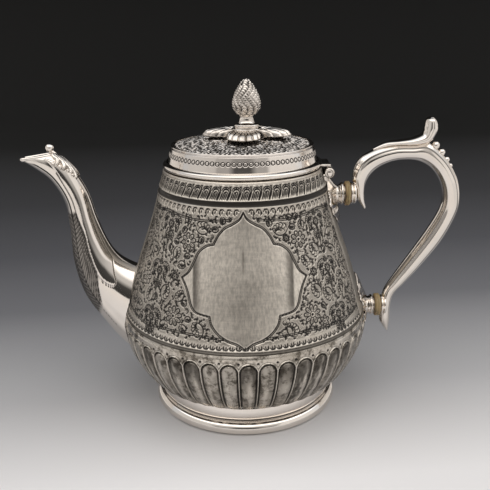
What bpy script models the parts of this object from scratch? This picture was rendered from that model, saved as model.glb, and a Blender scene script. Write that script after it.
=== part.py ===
"""A silver-plated teapot with a hinged lid, a swan-neck spout and an insulated scroll handle.

The pot stands on its foot at z = 0 with its turning axis on Z. The spout points along -X and the
handle along +X. Every size below is in millimetres; the meshes are made in metres.
"""

import math

import bmesh
import bpy
from mathutils import Vector

MM = 0.001
GAP = 0.3  # clearance between pieces that touch or are soldered together
WALL = 0.9  # sheet thickness of the vessel, lid and spout
TURNS = 40  # facets round a large turned piece
SMALL_TURNS = 16  # facets round a small turned piece

# The vessel: radius and height of its outside
FOOT_RADIUS = 56.2
FOOT_BEAD = 4.0
BASE_HEIGHT = 16.0
SEAM_HEIGHT = 59.0
SEAM_RADIUS = 72.6
SHOULDER_HEIGHT = 135.0
SHOULDER_RADIUS = 48.9
MOUTH_HEIGHT = 145.7
MOUTH_RADIUS = 45.6
BOWL_OUTLINE = [(49.0, BASE_HEIGHT), (57.2, 19.2), (64.5, 27.6), (70.6, 39.5), (73.3, 51.0), (SEAM_RADIUS, SEAM_HEIGHT)]
CONE_OUTLINE = [
    (SEAM_RADIUS, SEAM_HEIGHT),
    (69.9, 68.0),
    (66.7, 80.0),
    (61.9, 95.0),
    (56.8, 109.0),
    (52.0, 123.5),
    (SHOULDER_RADIUS, SHOULDER_HEIGHT),
]

# The lid
RIM_RADIUS = 44.6
RIM_HEIGHT = 148.0
RIM_BEAD = 1.8
LID_FOOT_RADIUS = 43.4
LID_TOP_RADIUS = 40.8
LID_TOP_HEIGHT = 160.4
CROWN_HEIGHT = 162.4
BEZEL_RADIUS = 41.0
BEZEL_FOOT = 137.5

# The finial stands a little towards the hinge, off the middle of the lid
FINIAL_X = 2.7
ROSETTE_RADIUS = 25.7
CONE_RADIUS = 8.3
CONE_WIDEST = 177.3
FINIAL_TOP = 195.5

# The lid hinge, whose pin lies along Y
HINGE_X = 49.9
HINGE_Z = 142.3
KNUCKLE_RADIUS = 2.9
PIN_RADIUS = 1.0
HINGE_HALF = 9.0
LID_KNUCKLE_HALF = 2.9

# Curved pieces in the XZ plane are given as stations across them: the x and z of the outer edge,
# the x and z of the inner edge, and half the width along Y. This is the spout, from inside the pot to the tip.
SPOUT_STATIONS = [
    (-62.0, 29.0, -57.0, 84.0, 15.5),
    (-74.0, 34.8, -65.1, 86.3, 15.5),
    (-86.6, 50.7, -73.5, 90.8, 14.2),
    (-97.6, 68.3, -78.8, 96.3, 12.4),
    (-102.7, 89.2, -83.2, 104.8, 10.4),
    (-103.4, 110.0, -87.2, 116.0, 8.6),
    (-105.4, 126.2, -91.8, 132.0, 7.2),
    (-111.8, 138.4, -99.6, 147.6, 6.6),
    (-119.5, 145.2, -111.0, 156.2, 5.8),
    (-128.2, 150.7, -127.7, 152.8, 2.6),
]
LIP_BACK = (-110.8, 154.0)
LIP_TIP = (-128.3, 151.3)
# The cast leaf that wraps over the spout's bend, and the place and radius of its knob
CREST_STATIONS = [
    (-92.6, 133.0, -95.0, 132.4, 2.0),
    (-94.1, 140.5, -100.0, 137.0, 5.6),
    (-97.1, 147.4, -103.0, 141.8, 7.6),
    (-101.8, 153.2, -106.5, 146.0, 8.2),
    (-107.0, 156.6, -110.0, 149.5, 7.8),
    (-111.4, 157.8, -112.5, 152.5, 5.6),
]
CREST_KNOB = (-111.4, 157.7, 2.5)

# The handle, from the upper tail to the lower tail
HANDLE_STATIONS = [
    (72.0, 118.6, 72.9, 119.4, 0.6),
    (67.6, 124.5, 72.0, 124.0, 2.6),
    (66.0, 131.0, 71.8, 130.5, 3.6),
    (64.2, 139.0, 73.0, 136.2, 4.4),
    (67.4, 148.1, 76.3, 141.1, 5.0),
    (75.0, 153.6, 81.5, 144.9, 5.2),
    (87.3, 157.0, 88.9, 147.5, 5.2),
    (99.0, 157.2, 97.2, 148.0, 5.2),
    (107.5, 157.8, 103.8, 146.7, 5.2),
    (115.6, 151.6, 109.6, 143.3, 5.2),
    (121.6, 144.3, 114.2, 137.8, 5.2),
    (126.4, 134.8, 117.1, 131.0, 5.2),
    (128.2, 123.5, 117.8, 124.0, 5.3),
    (126.7, 114.6, 116.2, 117.0, 5.2),
    (119.4, 99.0, 110.0, 105.4, 5.2),
    (107.5, 82.7, 99.2, 88.6, 5.0),
    (98.2, 71.7, 90.8, 75.8, 4.6),
    (92.3, 64.8, 85.6, 66.7, 4.0),
    (90.5, 57.5, 84.2, 57.5, 3.6),
    (90.3, 48.0, 83.9, 48.0, 3.2),
    (89.9, 42.5, 86.2, 43.2, 2.0),
    (89.6, 39.8, 88.8, 39.8, 0.5),
]
UPPER_Z = 128.3  # height of the upper insulator's axis
LOWER_Z = 57.3  # height of the lower insulator's axis
# The applied leaf that curls up into a thumb rest
LEAF_STATIONS = [
    (75.5, 154.6, 76.5, 153.4, 1.2),
    (82.5, 158.4, 83.2, 155.6, 3.2),
    (90.5, 159.6, 90.3, 156.4, 4.4),
    (98.0, 160.8, 99.0, 156.2, 5.0),
    (103.6, 163.2, 107.8, 157.6, 5.6),
    (106.3, 166.8, 112.4, 163.8, 5.8),
    (106.0, 170.9, 111.6, 168.9, 4.8),
    (106.6, 172.2, 108.6, 172.0, 2.0),
]
# Cast beads that run down the handle's back: place along the outside of the grip and radius
BEADS = [(112.5, 156.6, 2.4), (116.7, 152.3, 2.2), (120.2, 147.8, 1.9), (122.6, 144.3, 1.6)]


def metres(*values):
    return Vector([value * MM for value in values])


def material(name, colour, roughness, metallic=1.0):
    made = bpy.data.materials.new(name)
    made.use_nodes = True
    shader = made.node_tree.nodes["Principled BSDF"]
    shader.inputs["Base Color"].default_value = (*colour, 1.0)
    shader.inputs["Roughness"].default_value = roughness
    shader.inputs["Metallic"].default_value = metallic
    return made


def make_object(name, bm, skin=None):
    """Turns a bmesh into a named object; with no material it is a cutter that the render leaves out."""
    bmesh.ops.recalc_face_normals(bm, faces=bm.faces)
    mesh = bpy.data.meshes.new(name)
    bm.to_mesh(mesh)
    bm.free()
    made = bpy.data.objects.new(name, mesh)
    bpy.context.scene.collection.objects.link(made)
    if skin is None:
        made.hide_render = True
        made.display_type = "WIRE"
    else:
        mesh.materials.append(skin)
        mesh.shade_smooth()
        mesh.set_sharp_from_angle(angle=math.radians(35))
    return made


def smooth_rows(rows, steps):
    """Catmull-Rom rows through the given rows, with so many steps to each stretch."""
    padded = [Vector(rows[0]) * 2 - Vector(rows[1]), *map(Vector, rows), Vector(rows[-1]) * 2 - Vector(rows[-2])]
    found = []
    for a, b, c, d in zip(padded, padded[1:], padded[2:], padded[3:]):
        for step in range(steps):
            t = step / steps
            found.append(
                0.5 * (2 * b + (c - a) * t + (2 * a - 5 * b + 4 * c - d) * t**2 + (3 * b - a - 3 * c + d) * t**3)
            )
    return [*found, Vector(rows[-1])]


def arc(centre, radius, start, end, steps):
    """Points (radius, height) on a round of an outline; the angles are in degrees, 0 pointing outwards."""
    angles = [math.radians(start + (end - start) * i / steps) for i in range(steps + 1)]
    return [(centre[0] + radius * math.cos(a), centre[1] + radius * math.sin(a)) for a in angles]


def turned(name, outline, skin=None, turns=TURNS, along="Z", centre=(0.0, 0.0, 0.0), closed=True):
    """Spins an outline of (radius, height) about an axis. An open outline starts and ends on the axis."""
    bm = bmesh.new()
    place = {
        "Z": lambda r, h: metres(centre[0] + r, centre[1], centre[2] + h),
        "X": lambda r, h: metres(centre[0] + h, centre[1] + r, centre[2]),
        "Y": lambda r, h: metres(centre[0] + r, centre[1] + h, centre[2]),
    }[along]
    direction = {"Z": (0, 0, 1), "X": (1, 0, 0), "Y": (0, 1, 0)}[along]
    verts = [bm.verts.new(place(r, h)) for r, h in outline]
    pairs = list(zip(verts, verts[1:]))
    if closed:
        pairs.append((verts[-1], verts[0]))
    edges = [bm.edges.new(pair) for pair in pairs]
    bmesh.ops.spin(
        bm,
        geom=verts + edges,
        cent=metres(*centre),
        axis=direction,
        angle=math.tau,
        steps=turns,
        use_merge=True,
        use_duplicate=False,
    )
    bmesh.ops.remove_doubles(bm, verts=bm.verts, dist=0.002 * MM)
    return make_object(name, bm, skin)


def rod(name, start, end, radius, skin=None, turns=SMALL_TURNS):
    """A plain round rod between two points, built on Blender's cone operator."""
    bm = bmesh.new()
    a, b = metres(*start), metres(*end)
    turn = (b - a).to_track_quat("Z", "Y").to_matrix().to_4x4()
    turn.translation = (a + b) / 2
    bmesh.ops.create_cone(
        bm,
        cap_ends=True,
        segments=turns,
        radius1=radius * MM,
        radius2=radius * MM,
        depth=(b - a).length,
        matrix=turn,
    )
    return make_object(name, bm, skin)


def block(name, low, high, skin=None):
    bm = bmesh.new()
    bmesh.ops.create_cube(bm, size=1.0)
    size, middle = metres(*high) - metres(*low), (metres(*high) + metres(*low)) / 2
    bmesh.ops.scale(bm, vec=size, verts=bm.verts)
    bmesh.ops.translate(bm, vec=middle, verts=bm.verts)
    return make_object(name, bm, skin)


def hull(name, points, skin=None):
    bm = bmesh.new()
    for point in points:
        bm.verts.new(metres(*point))
    made = bmesh.ops.convex_hull(bm, input=bm.verts)
    loose = [v for v in made["geom_interior"] if isinstance(v, bmesh.types.BMVert)]
    bmesh.ops.delete(bm, geom=loose, context="VERTS")
    return make_object(name, bm, skin)


def ball(name, centre, radius, skin=None, turns=12, squash=1.0):
    bm = bmesh.new()
    bmesh.ops.create_uvsphere(bm, u_segments=turns, v_segments=turns * 2 // 3, radius=radius * MM)
    bmesh.ops.scale(bm, vec=(1, squash, 1), verts=bm.verts)
    bmesh.ops.translate(bm, vec=metres(*centre), verts=bm.verts)
    return make_object(name, bm, skin)


def lofted(name, stations, skin=None, sides=14, grow=0.0):
    """Skins a tube through stations across it; grow swells it by the same amount all round."""
    bm = bmesh.new()
    rings = []
    for outer_x, outer_z, inner_x, inner_z, width in stations:
        centre = metres(outer_x + inner_x, 0, outer_z + inner_z) / 2
        reach = metres(outer_x - inner_x, 0, outer_z - inner_z) / 2
        reach = reach.normalized() * max(reach.length + grow * MM, 0.4 * MM)
        sideways = metres(0, max(width + grow, 0.4), 0)
        ring = []
        for side in range(sides):
            a = math.tau * side / sides
            ring.append(bm.verts.new(centre + reach * math.cos(a) + sideways * math.sin(a)))
        rings.append(ring)
    for first, second in zip(rings, rings[1:]):
        for side in range(sides):
            after = (side + 1) % sides
            bm.faces.new((first[side], first[after], second[after], second[side]))
    bm.faces.new(rings[0])
    bm.faces.new(reversed(rings[-1]))
    return make_object(name, bm, skin)


def combine(target, others, operation):
    """Applies one Boolean for each of the other objects, in order."""
    for other in others:
        modifier = target.modifiers.new(f"{operation}_{other.name}", "BOOLEAN")
        modifier.operation = operation
        modifier.object = other
        modifier.solver = "EXACT"
    return target


def helper(made):
    """Marks a piece that only feeds a Boolean as left out of the model."""
    made.hide_render = True
    made.display_type = "WIRE"
    return made


def thickened(outline, thickness):
    """The inside of a sheet-metal outline: the same heights, drawn in by the sheet's slanted thickness."""
    found = []
    for index, (radius, height) in enumerate(outline):
        before, after = outline[max(index - 1, 0)], outline[min(index + 1, len(outline) - 1)]
        slope = Vector((after[0] - before[0], after[1] - before[1])).normalized()
        found.append((radius - thickness * slope.y, height + thickness * slope.x))
    return found


def vessel_cutter(name, margin):
    """The whole outside of the vessel as one solid, grown by a margin, for trimming what is soldered to it."""
    rows = [*smooth_rows(BOWL_OUTLINE, 2), *smooth_rows(CONE_OUTLINE, 2)[1:], (MOUTH_RADIUS, MOUTH_HEIGHT)]
    outline = [(r + margin, h) for r, h in rows]
    return turned(name, [(0, 5.0), (outline[0][0], 5.0), *outline, (0, MOUTH_HEIGHT)], closed=False)


def build_vessel(silver, chased):
    bowl_side = [tuple(p) for p in smooth_rows(BOWL_OUTLINE, 2)]
    lap = 3.0  # the bowl's edge is stepped in and carries the cone
    inside = thickened(BOWL_OUTLINE, WALL)
    inside[0] = (inside[0][0], BASE_HEIGHT + WALL)
    step = SEAM_RADIUS - WALL - GAP - 0.5
    bowl = [
        (0, BASE_HEIGHT),
        *bowl_side,
        (step, SEAM_HEIGHT),
        (step - 0.9, SEAM_HEIGHT + lap),
        (step - 2.1, SEAM_HEIGHT + lap),
        *reversed(inside[:-1]),
        (0, BASE_HEIGHT + WALL),
    ]
    turned("lower_bowl", bowl, chased, closed=False)

    side = [*CONE_OUTLINE, (MOUTH_RADIUS, MOUTH_HEIGHT)]
    side[0] = (SEAM_RADIUS - 0.1, SEAM_HEIGHT + GAP)
    inner = thickened(side, WALL)
    inner[0] = (inner[0][0], SEAM_HEIGHT + GAP)
    inner[-1] = (MOUTH_RADIUS - WALL, MOUTH_HEIGHT)
    cone = turned("upper_body", [*side, *reversed(inner)], chased)
    combine(cone, [strainer_drills()], "DIFFERENCE")

    # The mouth is stiffened by a ring inside it that the lid's bezel drops through
    ring = [(41.9, 142.2), (45.0, 142.2), (44.1, MOUTH_HEIGHT - 0.5), (41.9, MOUTH_HEIGHT - 0.5)]
    turned("mouth_ring", ring, silver)

    bead_centre = (FOOT_RADIUS - FOOT_BEAD, FOOT_BEAD)
    foot = [
        (50.6, 0.0),
        *arc(bead_centre, FOOT_BEAD, -70, 75, 6),
        (51.2, 8.4),
        (52.3, 9.6),
        (52.7, 12.0),
        (52.2, 14.4),
        (51.0, BASE_HEIGHT - GAP),
        (46.2, BASE_HEIGHT - GAP),
        (48.4, 10.5),
        (49.4, 6.0),
    ]
    foot[1] = (foot[1][0], 0.0)
    turned("foot_ring", foot, silver)


def strainer_drills():
    """Staggered rows of drills that pierce the wall behind the spout."""
    pitch, drill = 5.4, 1.5
    bm = bmesh.new()
    for row in range(4):
        count = 3 + row % 2
        for place in range(count):
            y = (place - (count - 1) / 2) * pitch
            z = 65.0 + row * pitch * 0.9
            made = bmesh.ops.create_cone(
                bm, cap_ends=True, segments=6, radius1=drill * MM, radius2=drill * MM, depth=16 * MM
            )
            bmesh.ops.rotate(
                bm, verts=made["verts"], cent=(0, 0, 0), matrix=Vector((1, 0, 0)).to_track_quat("Z", "Y").to_matrix()
            )
            bmesh.ops.translate(bm, verts=made["verts"], vec=metres(-67, y, z))
    return make_object("strainer_drills", bm)


def build_spout(silver):
    outer = smooth_rows(SPOUT_STATIONS, 2)
    spout = lofted("spout", outer, silver)
    bore = lofted("spout_bore", SPOUT_STATIONS, grow=-WALL, sides=12)
    cheek = 20
    above_lip = [LIP_BACK, LIP_TIP, (LIP_TIP[0] - 8, LIP_TIP[1] - 1), (LIP_TIP[0], 180), (LIP_BACK[0], 180)]
    lip_cut = hull("lip_cut", [(x, y, z) for y in (-cheek, cheek) for x, z in above_lip])
    combine(spout, [bore, lip_cut, vessel_cutter("vessel_for_spout", GAP)], "DIFFERENCE")

    # The cast leaf over the spout's bend, with a small knob where it meets the lip
    crest = lofted("spout_crest", smooth_rows(CREST_STATIONS, 2), silver)
    knob_x, knob_z, knob_radius = CREST_KNOB
    knob = helper(ball("crest_knob", (knob_x, 0, knob_z), knob_radius, silver))
    neck = helper(rod("crest_neck", (knob_x + 0.4, 0, knob_z - 0.8), (-105.5, 0, 154.2), 1.2, silver, turns=8))
    combine(crest, [neck, knob], "UNION")
    combine(crest, [lofted("spout_for_crest", outer, grow=GAP)], "DIFFERENCE")


def socket(name, silver, axis_z, start, end, radius, tail):
    """A cast bracket on the vessel: a turned collar on a flared root, with leaf-shaped tails lying on the wall."""
    outline = [
        (0, start),
        (radius + 2.6, start),
        (radius + 1.2, (start + end) / 2 - 1.0),
        (radius - 0.8, end - 3.2),
        (radius, end - 2.6),
        (radius, end - 0.4),
        (radius - 0.4, end),
        (0, end),
    ]
    body = turned(name, outline, silver, turns=SMALL_TURNS, along="X", centre=(0, 0, axis_z), closed=False)
    leaves = [helper(hull(f"{name}_leaf_{i}", points, silver)) for i, points in enumerate(tail)]
    combine(body, leaves, "UNION")
    spigot = rod(f"{name}_bore", (end - 6.5, 0, axis_z), (end + 5, 0, axis_z), 3.7, turns=SMALL_TURNS)
    hole = rod(f"{name}_pin_hole", (end - 3.2, -20, axis_z), (end - 3.2, 20, axis_z), 1.0, turns=8)
    combine(body, [spigot, hole, vessel_cutter(f"{name}_vessel", GAP)], "DIFFERENCE")
    return body


def insulator(name, bone, axis_z, start, end, radius):
    """A turned disc with a spigot on each side; each spigot is cross-drilled for its pin."""
    outline = [
        (0, start - 5.4),
        (3.3, start - 5.4),
        (3.3, start),
        *arc((radius - 1.0, start + 1.0), 1.0, 270, 360, 2),
        *arc((radius - 1.0, end - 1.0), 1.0, 0, 90, 2),
        (3.3, end),
        (3.3, end + 3.7),
        (0, end + 3.7),
    ]
    disc = turned(name, outline, bone, turns=SMALL_TURNS, along="X", centre=(0, 0, axis_z), closed=False)
    holes = [
        rod(f"{name}_hole_{side}", (x, -20, axis_z), (x, 20, axis_z), 1.0, turns=8)
        for side, x in (("body", start - GAP - 3.2), ("grip", end + GAP + 1.7))
    ]
    return combine(disc, holes, "DIFFERENCE")


def ferrule(name, silver, axis_z, start, end, radius):
    """The collar on the handle's side of an insulator."""
    outline = [
        (3.7, start),
        (radius - 0.5, start),
        (radius, start + 0.5),
        (radius, end - 1.2),
        (radius - 0.9, end),
        (3.7, end),
    ]
    collar = turned(name, outline, silver, turns=SMALL_TURNS, along="X", centre=(0, 0, axis_z))
    hole = rod(f"{name}_hole", (start + 1.7, -20, axis_z), (start + 1.7, 20, axis_z), 1.0, turns=8)
    return combine(collar, [hole], "DIFFERENCE")


def grip_rows():
    return smooth_rows(HANDLE_STATIONS, 2)


def build_handle(silver, bone):
    upper_tail = [
        [(46, -7.5, 133), (46, 7.5, 133), (60, 0, 110.0), (50, -6.5, 122), (50, 6.5, 122), (57.0, 0, 124), (55.5, 0, 130)],
        [(46, -4, 135.4), (46, 4, 135.4), (52.5, 0, 135.6), (55, -4, 131), (55, 4, 131), (49, 0, 128)],
    ]
    lower_tail = [
        [(70.5, 0, 77.0), (66, -6, 66), (66, 6, 66), (76.4, -4, 62), (76.4, 4, 62), (71, 0, 56)],
        [(76.2, 0, 42.0), (66, -6, 52), (66, 6, 52), (76.4, -4, 52.6), (76.4, 4, 52.6), (71, 0, 58)],
    ]
    socket("upper_socket", silver, UPPER_Z, 44.0, 58.0, 6.6, upper_tail)
    socket("lower_socket", silver, LOWER_Z, 66.0, 79.8, 6.3, lower_tail)
    insulator("upper_insulator", bone, UPPER_Z, 58.3, 63.0, 7.5)
    insulator("lower_insulator", bone, LOWER_Z, 80.1, 83.7, 7.3)
    ferrule("upper_ferrule", silver, UPPER_Z, 63.3, 66.7, 6.3)
    ferrule("lower_ferrule", silver, LOWER_Z, 84.0, 87.4, 6.1)
    for name, x, z, reach in (
        ("upper_socket_pin", 54.8, UPPER_Z, 6.5),
        ("upper_ferrule_pin", 65.0, UPPER_Z, 6.2),
        ("lower_socket_pin", 76.6, LOWER_Z, 6.2),
        ("lower_ferrule_pin", 85.7, LOWER_Z, 6.0),
    ):
        rod(name, (x, -reach, z), (x, reach, z), 0.7, silver, turns=8)

    grip = lofted("handle", grip_rows(), silver)
    beads = [helper(ball(f"handle_bead_{i}", (x, 0, z), r, silver)) for i, (x, z, r) in enumerate(BEADS)]
    combine(grip, beads, "UNION")
    seats = [
        rod(f"{name}_seat", (start - 6, 0, z), (end + GAP, 0, z), radius + GAP, turns=SMALL_TURNS)
        for name, start, end, radius, z in (
            ("upper", 63.3, 66.7, 6.3, UPPER_Z),
            ("lower", 84.0, 87.4, 6.1, LOWER_Z),
        )
    ]
    spigots = [
        rod(f"{name}_spigot_clear", (x - 6, 0, z), (x, 0, z), 3.7, turns=SMALL_TURNS)
        for name, x, z in (("upper", 67.3, UPPER_Z), ("lower", 88.0, LOWER_Z))
    ]
    combine(grip, [*seats, *spigots], "DIFFERENCE")

    leaf = lofted("thumb_leaf", smooth_rows(LEAF_STATIONS, 2), silver, sides=12)
    combine(leaf, [lofted("grip_for_leaf", grip_rows(), grow=GAP)], "DIFFERENCE")
    combine(leaf, [ball("bead_for_leaf", (BEADS[0][0], 0, BEADS[0][1]), BEADS[0][2] + GAP)], "DIFFERENCE")


def build_lid(silver, chased, brass):
    foot_z = RIM_HEIGHT - 1.0
    top_edge = LID_TOP_RADIUS
    crown = [(top_edge - 2.0, LID_TOP_HEIGHT - 0.2), (26.0, CROWN_HEIGHT - 0.9), (12.0, CROWN_HEIGHT)]
    outline = [
        (0, CROWN_HEIGHT),
        *reversed(crown),
        (top_edge - 0.8, LID_TOP_HEIGHT + 0.2),
        (top_edge, LID_TOP_HEIGHT),
        (top_edge + 0.5, LID_TOP_HEIGHT - 1.2),
        (LID_FOOT_RADIUS, RIM_HEIGHT + 2.2),
        (LID_FOOT_RADIUS, foot_z),
        (LID_FOOT_RADIUS - WALL, foot_z),
        (LID_FOOT_RADIUS - WALL, RIM_HEIGHT + 2.2),
        (top_edge - 1.4, LID_TOP_HEIGHT - 1.6),
        *[(r, h - WALL) for r, h in crown[1:]],
        (0, CROWN_HEIGHT - WALL),
    ]
    shell = turned("lid_shell", outline, chased, closed=False)
    hole = rod("stud_hole", (FINIAL_X, 0, CROWN_HEIGHT - 9), (FINIAL_X, 0, CROWN_HEIGHT + 9), 2.1, turns=12)
    combine(shell, [hole], "DIFFERENCE")
    inner = LID_FOOT_RADIUS + GAP
    rim = [
        (inner, RIM_HEIGHT - RIM_BEAD),
        *arc((RIM_RADIUS, RIM_HEIGHT), RIM_BEAD, -80, 80, 6),
        (inner, RIM_HEIGHT + RIM_BEAD),
    ]
    turned("lid_rim", rim, silver)
    bezel = [
        (BEZEL_RADIUS - 0.9, BEZEL_FOOT),
        (BEZEL_RADIUS, BEZEL_FOOT),
        (BEZEL_RADIUS, RIM_HEIGHT + 3.0),
        (BEZEL_RADIUS - 0.9, RIM_HEIGHT + 3.0),
    ]
    turned("lid_bezel", bezel, silver)
    build_finial(silver, brass)


def build_finial(silver, brass):
    """The pine cone on its stem, the leaf rosette below it, and the nut that holds both from inside."""
    at = (FINIAL_X, 0, 0)
    seat = CROWN_HEIGHT + GAP
    leaves, waist = 4, 0.5
    bm = bmesh.new()
    outer_ring = []
    for step in range(leaves * 12):
        a = math.tau * step / (leaves * 12)
        lobe = abs(math.cos(a * leaves / 2))
        outer_ring.append((ROSETTE_RADIUS * (waist + (1 - waist) * lobe**0.6), a))
    levels = [(3.2, seat, 0), (1.0, seat + 0.1, 1), (1.0, seat + 1.2, 1), (0.72, seat + 3.0, 1), (3.2, seat + 3.4, 0)]
    rings = []
    for scale, height, lobed in levels:
        rings.append(
            [
                bm.verts.new(
                    metres(
                        at[0] + (radius * scale if lobed else scale) * math.cos(a),
                        (radius * scale if lobed else scale) * math.sin(a),
                        height,
                    )
                )
                for radius, a in outer_ring
            ]
        )
    for first, second in zip(rings, [*rings[1:], rings[0]]):
        for i in range(len(first)):
            j = (i + 1) % len(first)
            bm.faces.new((first[i], first[j], second[j], second[i]))
    make_object("leaf_rosette", bm, silver)

    base = seat + 3.4 + GAP
    stem = [
        (2.0, base),
        (8.1, base),
        (8.2, base + 0.9),
        (6.2, base + 1.6),
        (6.0, base + 3.2),
        (4.2, base + 4.2),
        (3.3, base + 7.0),
        (3.8, base + 9.0),
        (2.0, base + 9.0),
    ]
    turned("finial_stem", stem, silver, turns=SMALL_TURNS, centre=at)
    foot = base + 9.0 + GAP
    cone = [
        (0, foot + 5.6),
        (1.9, foot + 5.6),
        (1.9, foot),
        (5.0, foot),
        (7.4, foot + 1.8),
        (CONE_RADIUS, CONE_WIDEST),
        (7.7, CONE_WIDEST + 4.5),
        (6.2, CONE_WIDEST + 9.5),
        (4.0, CONE_WIDEST + 14.2),
        (2.0, FINIAL_TOP - 1.0),
        (0, FINIAL_TOP),
    ]
    turned("pine_cone", cone, silver, turns=SMALL_TURNS, centre=at, closed=False)
    turned_stud(at, foot + 5.2, silver)
    nut_top = CROWN_HEIGHT - WALL - GAP - 0.8 - GAP
    washer = [(2.0, nut_top + GAP), (5.6, nut_top + GAP), (5.6, nut_top + GAP + 0.8), (2.0, nut_top + GAP + 0.8)]
    turned("finial_washer", washer, brass, turns=SMALL_TURNS, centre=at)
    nut = [(2.0, nut_top - 2.6), (4.0, nut_top - 2.6), (4.0, nut_top), (2.0, nut_top)]
    turned("finial_nut", nut, brass, turns=6, centre=at)


def turned_stud(at, top, silver):
    """The threaded stud that ties the cone to the nut, drawn at its thread's outer diameter."""
    low = CROWN_HEIGHT - WALL - 6.4
    rod("finial_stud", (at[0], 0, low), (at[0], 0, top), 1.6, silver, turns=12)


def build_hinge(silver):
    half, inner = HINGE_HALF, LID_KNUCKLE_HALF
    leaf = block("hinge_body_leaf", (43.0, 0.5 - half, 136.6), (HINGE_X, half - 0.5, HINGE_Z - 0.6), silver)
    slope = hull(
        "body_leaf_slope",
        [
            (x, y, z)
            for y in (-20, 20)
            for x, z in ((49.0, 134.0), (HINGE_X + 1.0, HINGE_Z - KNUCKLE_RADIUS), (60, HINGE_Z - KNUCKLE_RADIUS), (60, 134))
        ],
    )
    combine(leaf, [slope], "DIFFERENCE")
    barrels = [
        helper(rod(f"body_barrel_{side}", (HINGE_X, y0, HINGE_Z), (HINGE_X, y1, HINGE_Z), KNUCKLE_RADIUS, silver))
        for side, y0, y1 in (("front", -half, -inner - GAP), ("back", inner + GAP, half))
    ]
    combine(leaf, barrels, "UNION")
    slot = block(
        "body_leaf_slot",
        (HINGE_X - KNUCKLE_RADIUS - GAP, -inner - GAP, HINGE_Z - KNUCKLE_RADIUS - GAP),
        (HINGE_X + 8, inner + GAP, HINGE_Z + 8),
    )
    hole = rod("hinge_hole", (HINGE_X, -30, HINGE_Z), (HINGE_X, 30, HINGE_Z), PIN_RADIUS + 0.3, turns=12)
    combine(leaf, [slot, hole, vessel_cutter("vessel_for_hinge", GAP)], "DIFFERENCE")

    low = RIM_HEIGHT - RIM_BEAD - 0.1
    plate = block("hinge_lid_leaf", (44.0, -half, low), (HINGE_X + 0.4, half, low + 1.4), silver)
    web = block("lid_leaf_web", (HINGE_X - 1.6, 0.4 - inner, HINGE_Z), (HINGE_X + 0.2, inner - 0.4, low + 1.0), silver)
    knuckle = helper(
        rod("lid_barrel", (HINGE_X, -inner, HINGE_Z), (HINGE_X, inner, HINGE_Z), KNUCKLE_RADIUS, silver)
    )
    combine(plate, [helper(web), knuckle], "UNION")
    rim = [(0, RIM_HEIGHT - 6), (RIM_RADIUS, RIM_HEIGHT - 6)]
    rim += arc((RIM_RADIUS, RIM_HEIGHT), RIM_BEAD + GAP, -90, 90, 8)
    rim += [(0, RIM_HEIGHT + RIM_BEAD + GAP)]
    rim_clear = turned("rim_for_hinge", rim, closed=False)
    combine(plate, [hole, rim_clear], "DIFFERENCE")
    rod("hinge_pin", (HINGE_X, -half, HINGE_Z), (HINGE_X, half, HINGE_Z), PIN_RADIUS, silver, turns=12)


def main():
    for existing in list(bpy.data.objects):
        bpy.data.objects.remove(existing)
    silver = material("polished_silver", (0.80, 0.78, 0.75), 0.16)
    chased = material("chased_silver", (0.62, 0.60, 0.56), 0.32)
    bone = material("insulator_bone", (0.55, 0.43, 0.25), 0.45, metallic=0.0)
    brass = material("fixing_brass", (0.70, 0.55, 0.28), 0.35)
    build_vessel(silver, chased)
    build_spout(silver)
    build_handle(silver, bone)
    build_lid(silver, chased, brass)
    build_hinge(silver)


main()
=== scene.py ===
"""The silver teapot's looks: chased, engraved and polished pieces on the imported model's frame."""

import math

import bmesh
import bpy
import numpy as np
from mathutils import Matrix, kdtree


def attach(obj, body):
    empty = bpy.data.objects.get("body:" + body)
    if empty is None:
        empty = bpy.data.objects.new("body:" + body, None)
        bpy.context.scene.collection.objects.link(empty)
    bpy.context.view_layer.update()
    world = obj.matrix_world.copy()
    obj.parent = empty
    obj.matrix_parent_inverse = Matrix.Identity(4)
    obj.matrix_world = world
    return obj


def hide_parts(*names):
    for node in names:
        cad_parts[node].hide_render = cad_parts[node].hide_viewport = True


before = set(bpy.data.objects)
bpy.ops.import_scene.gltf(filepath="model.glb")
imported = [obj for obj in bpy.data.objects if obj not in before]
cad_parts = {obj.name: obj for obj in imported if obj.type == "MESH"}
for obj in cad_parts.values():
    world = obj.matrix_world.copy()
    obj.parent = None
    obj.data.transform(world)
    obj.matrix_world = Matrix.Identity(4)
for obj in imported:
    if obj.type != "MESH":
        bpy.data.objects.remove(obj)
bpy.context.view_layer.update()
MM = 0.001
RANDOM = np.random.default_rng(7)

# ---------------------------------------------------------------- driving sizes, in millimetres

# The vessel's outside as (radius, height), from the foot up
BOWL_OUTLINE = [(49.0, 16.0), (57.2, 19.2), (64.5, 27.6), (70.6, 39.5), (73.3, 51.0), (72.6, 59.0)]
CONE_OUTLINE = [
    (72.6, 59.2),
    (69.9, 68.0),
    (66.7, 80.0),
    (61.9, 95.0),
    (56.8, 109.0),
    (52.0, 123.5),
    (48.9, 135.0),
    (45.6, 145.7),
]
VESSEL_OUTLINE = [*BOWL_OUTLINE[:-1], *CONE_OUTLINE]
BOWL_WIDEST = 73.0
CONE_SLOPE = 0.955  # height gained per millimetre climbed along the cone's side
WALL = 0.9

# Narrow mouldings on the body and the bowl's top edge: height, width, how far each stands out
BODY_RIDGES = [(60.0, 0.6, -0.60), (61.3, 0.5, 0.35), (132.7, 0.42, 0.45), (136.2, 0.35, 0.40)]
BODY_RIDGES += [(145.0, 0.55, 0.50), (144.2, 0.3, -0.30)]
BOWL_RIDGES = [(58.9, 0.35, -0.5), (57.6, 0.3, -0.35), (58.2, 0.4, 0.2)]
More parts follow.
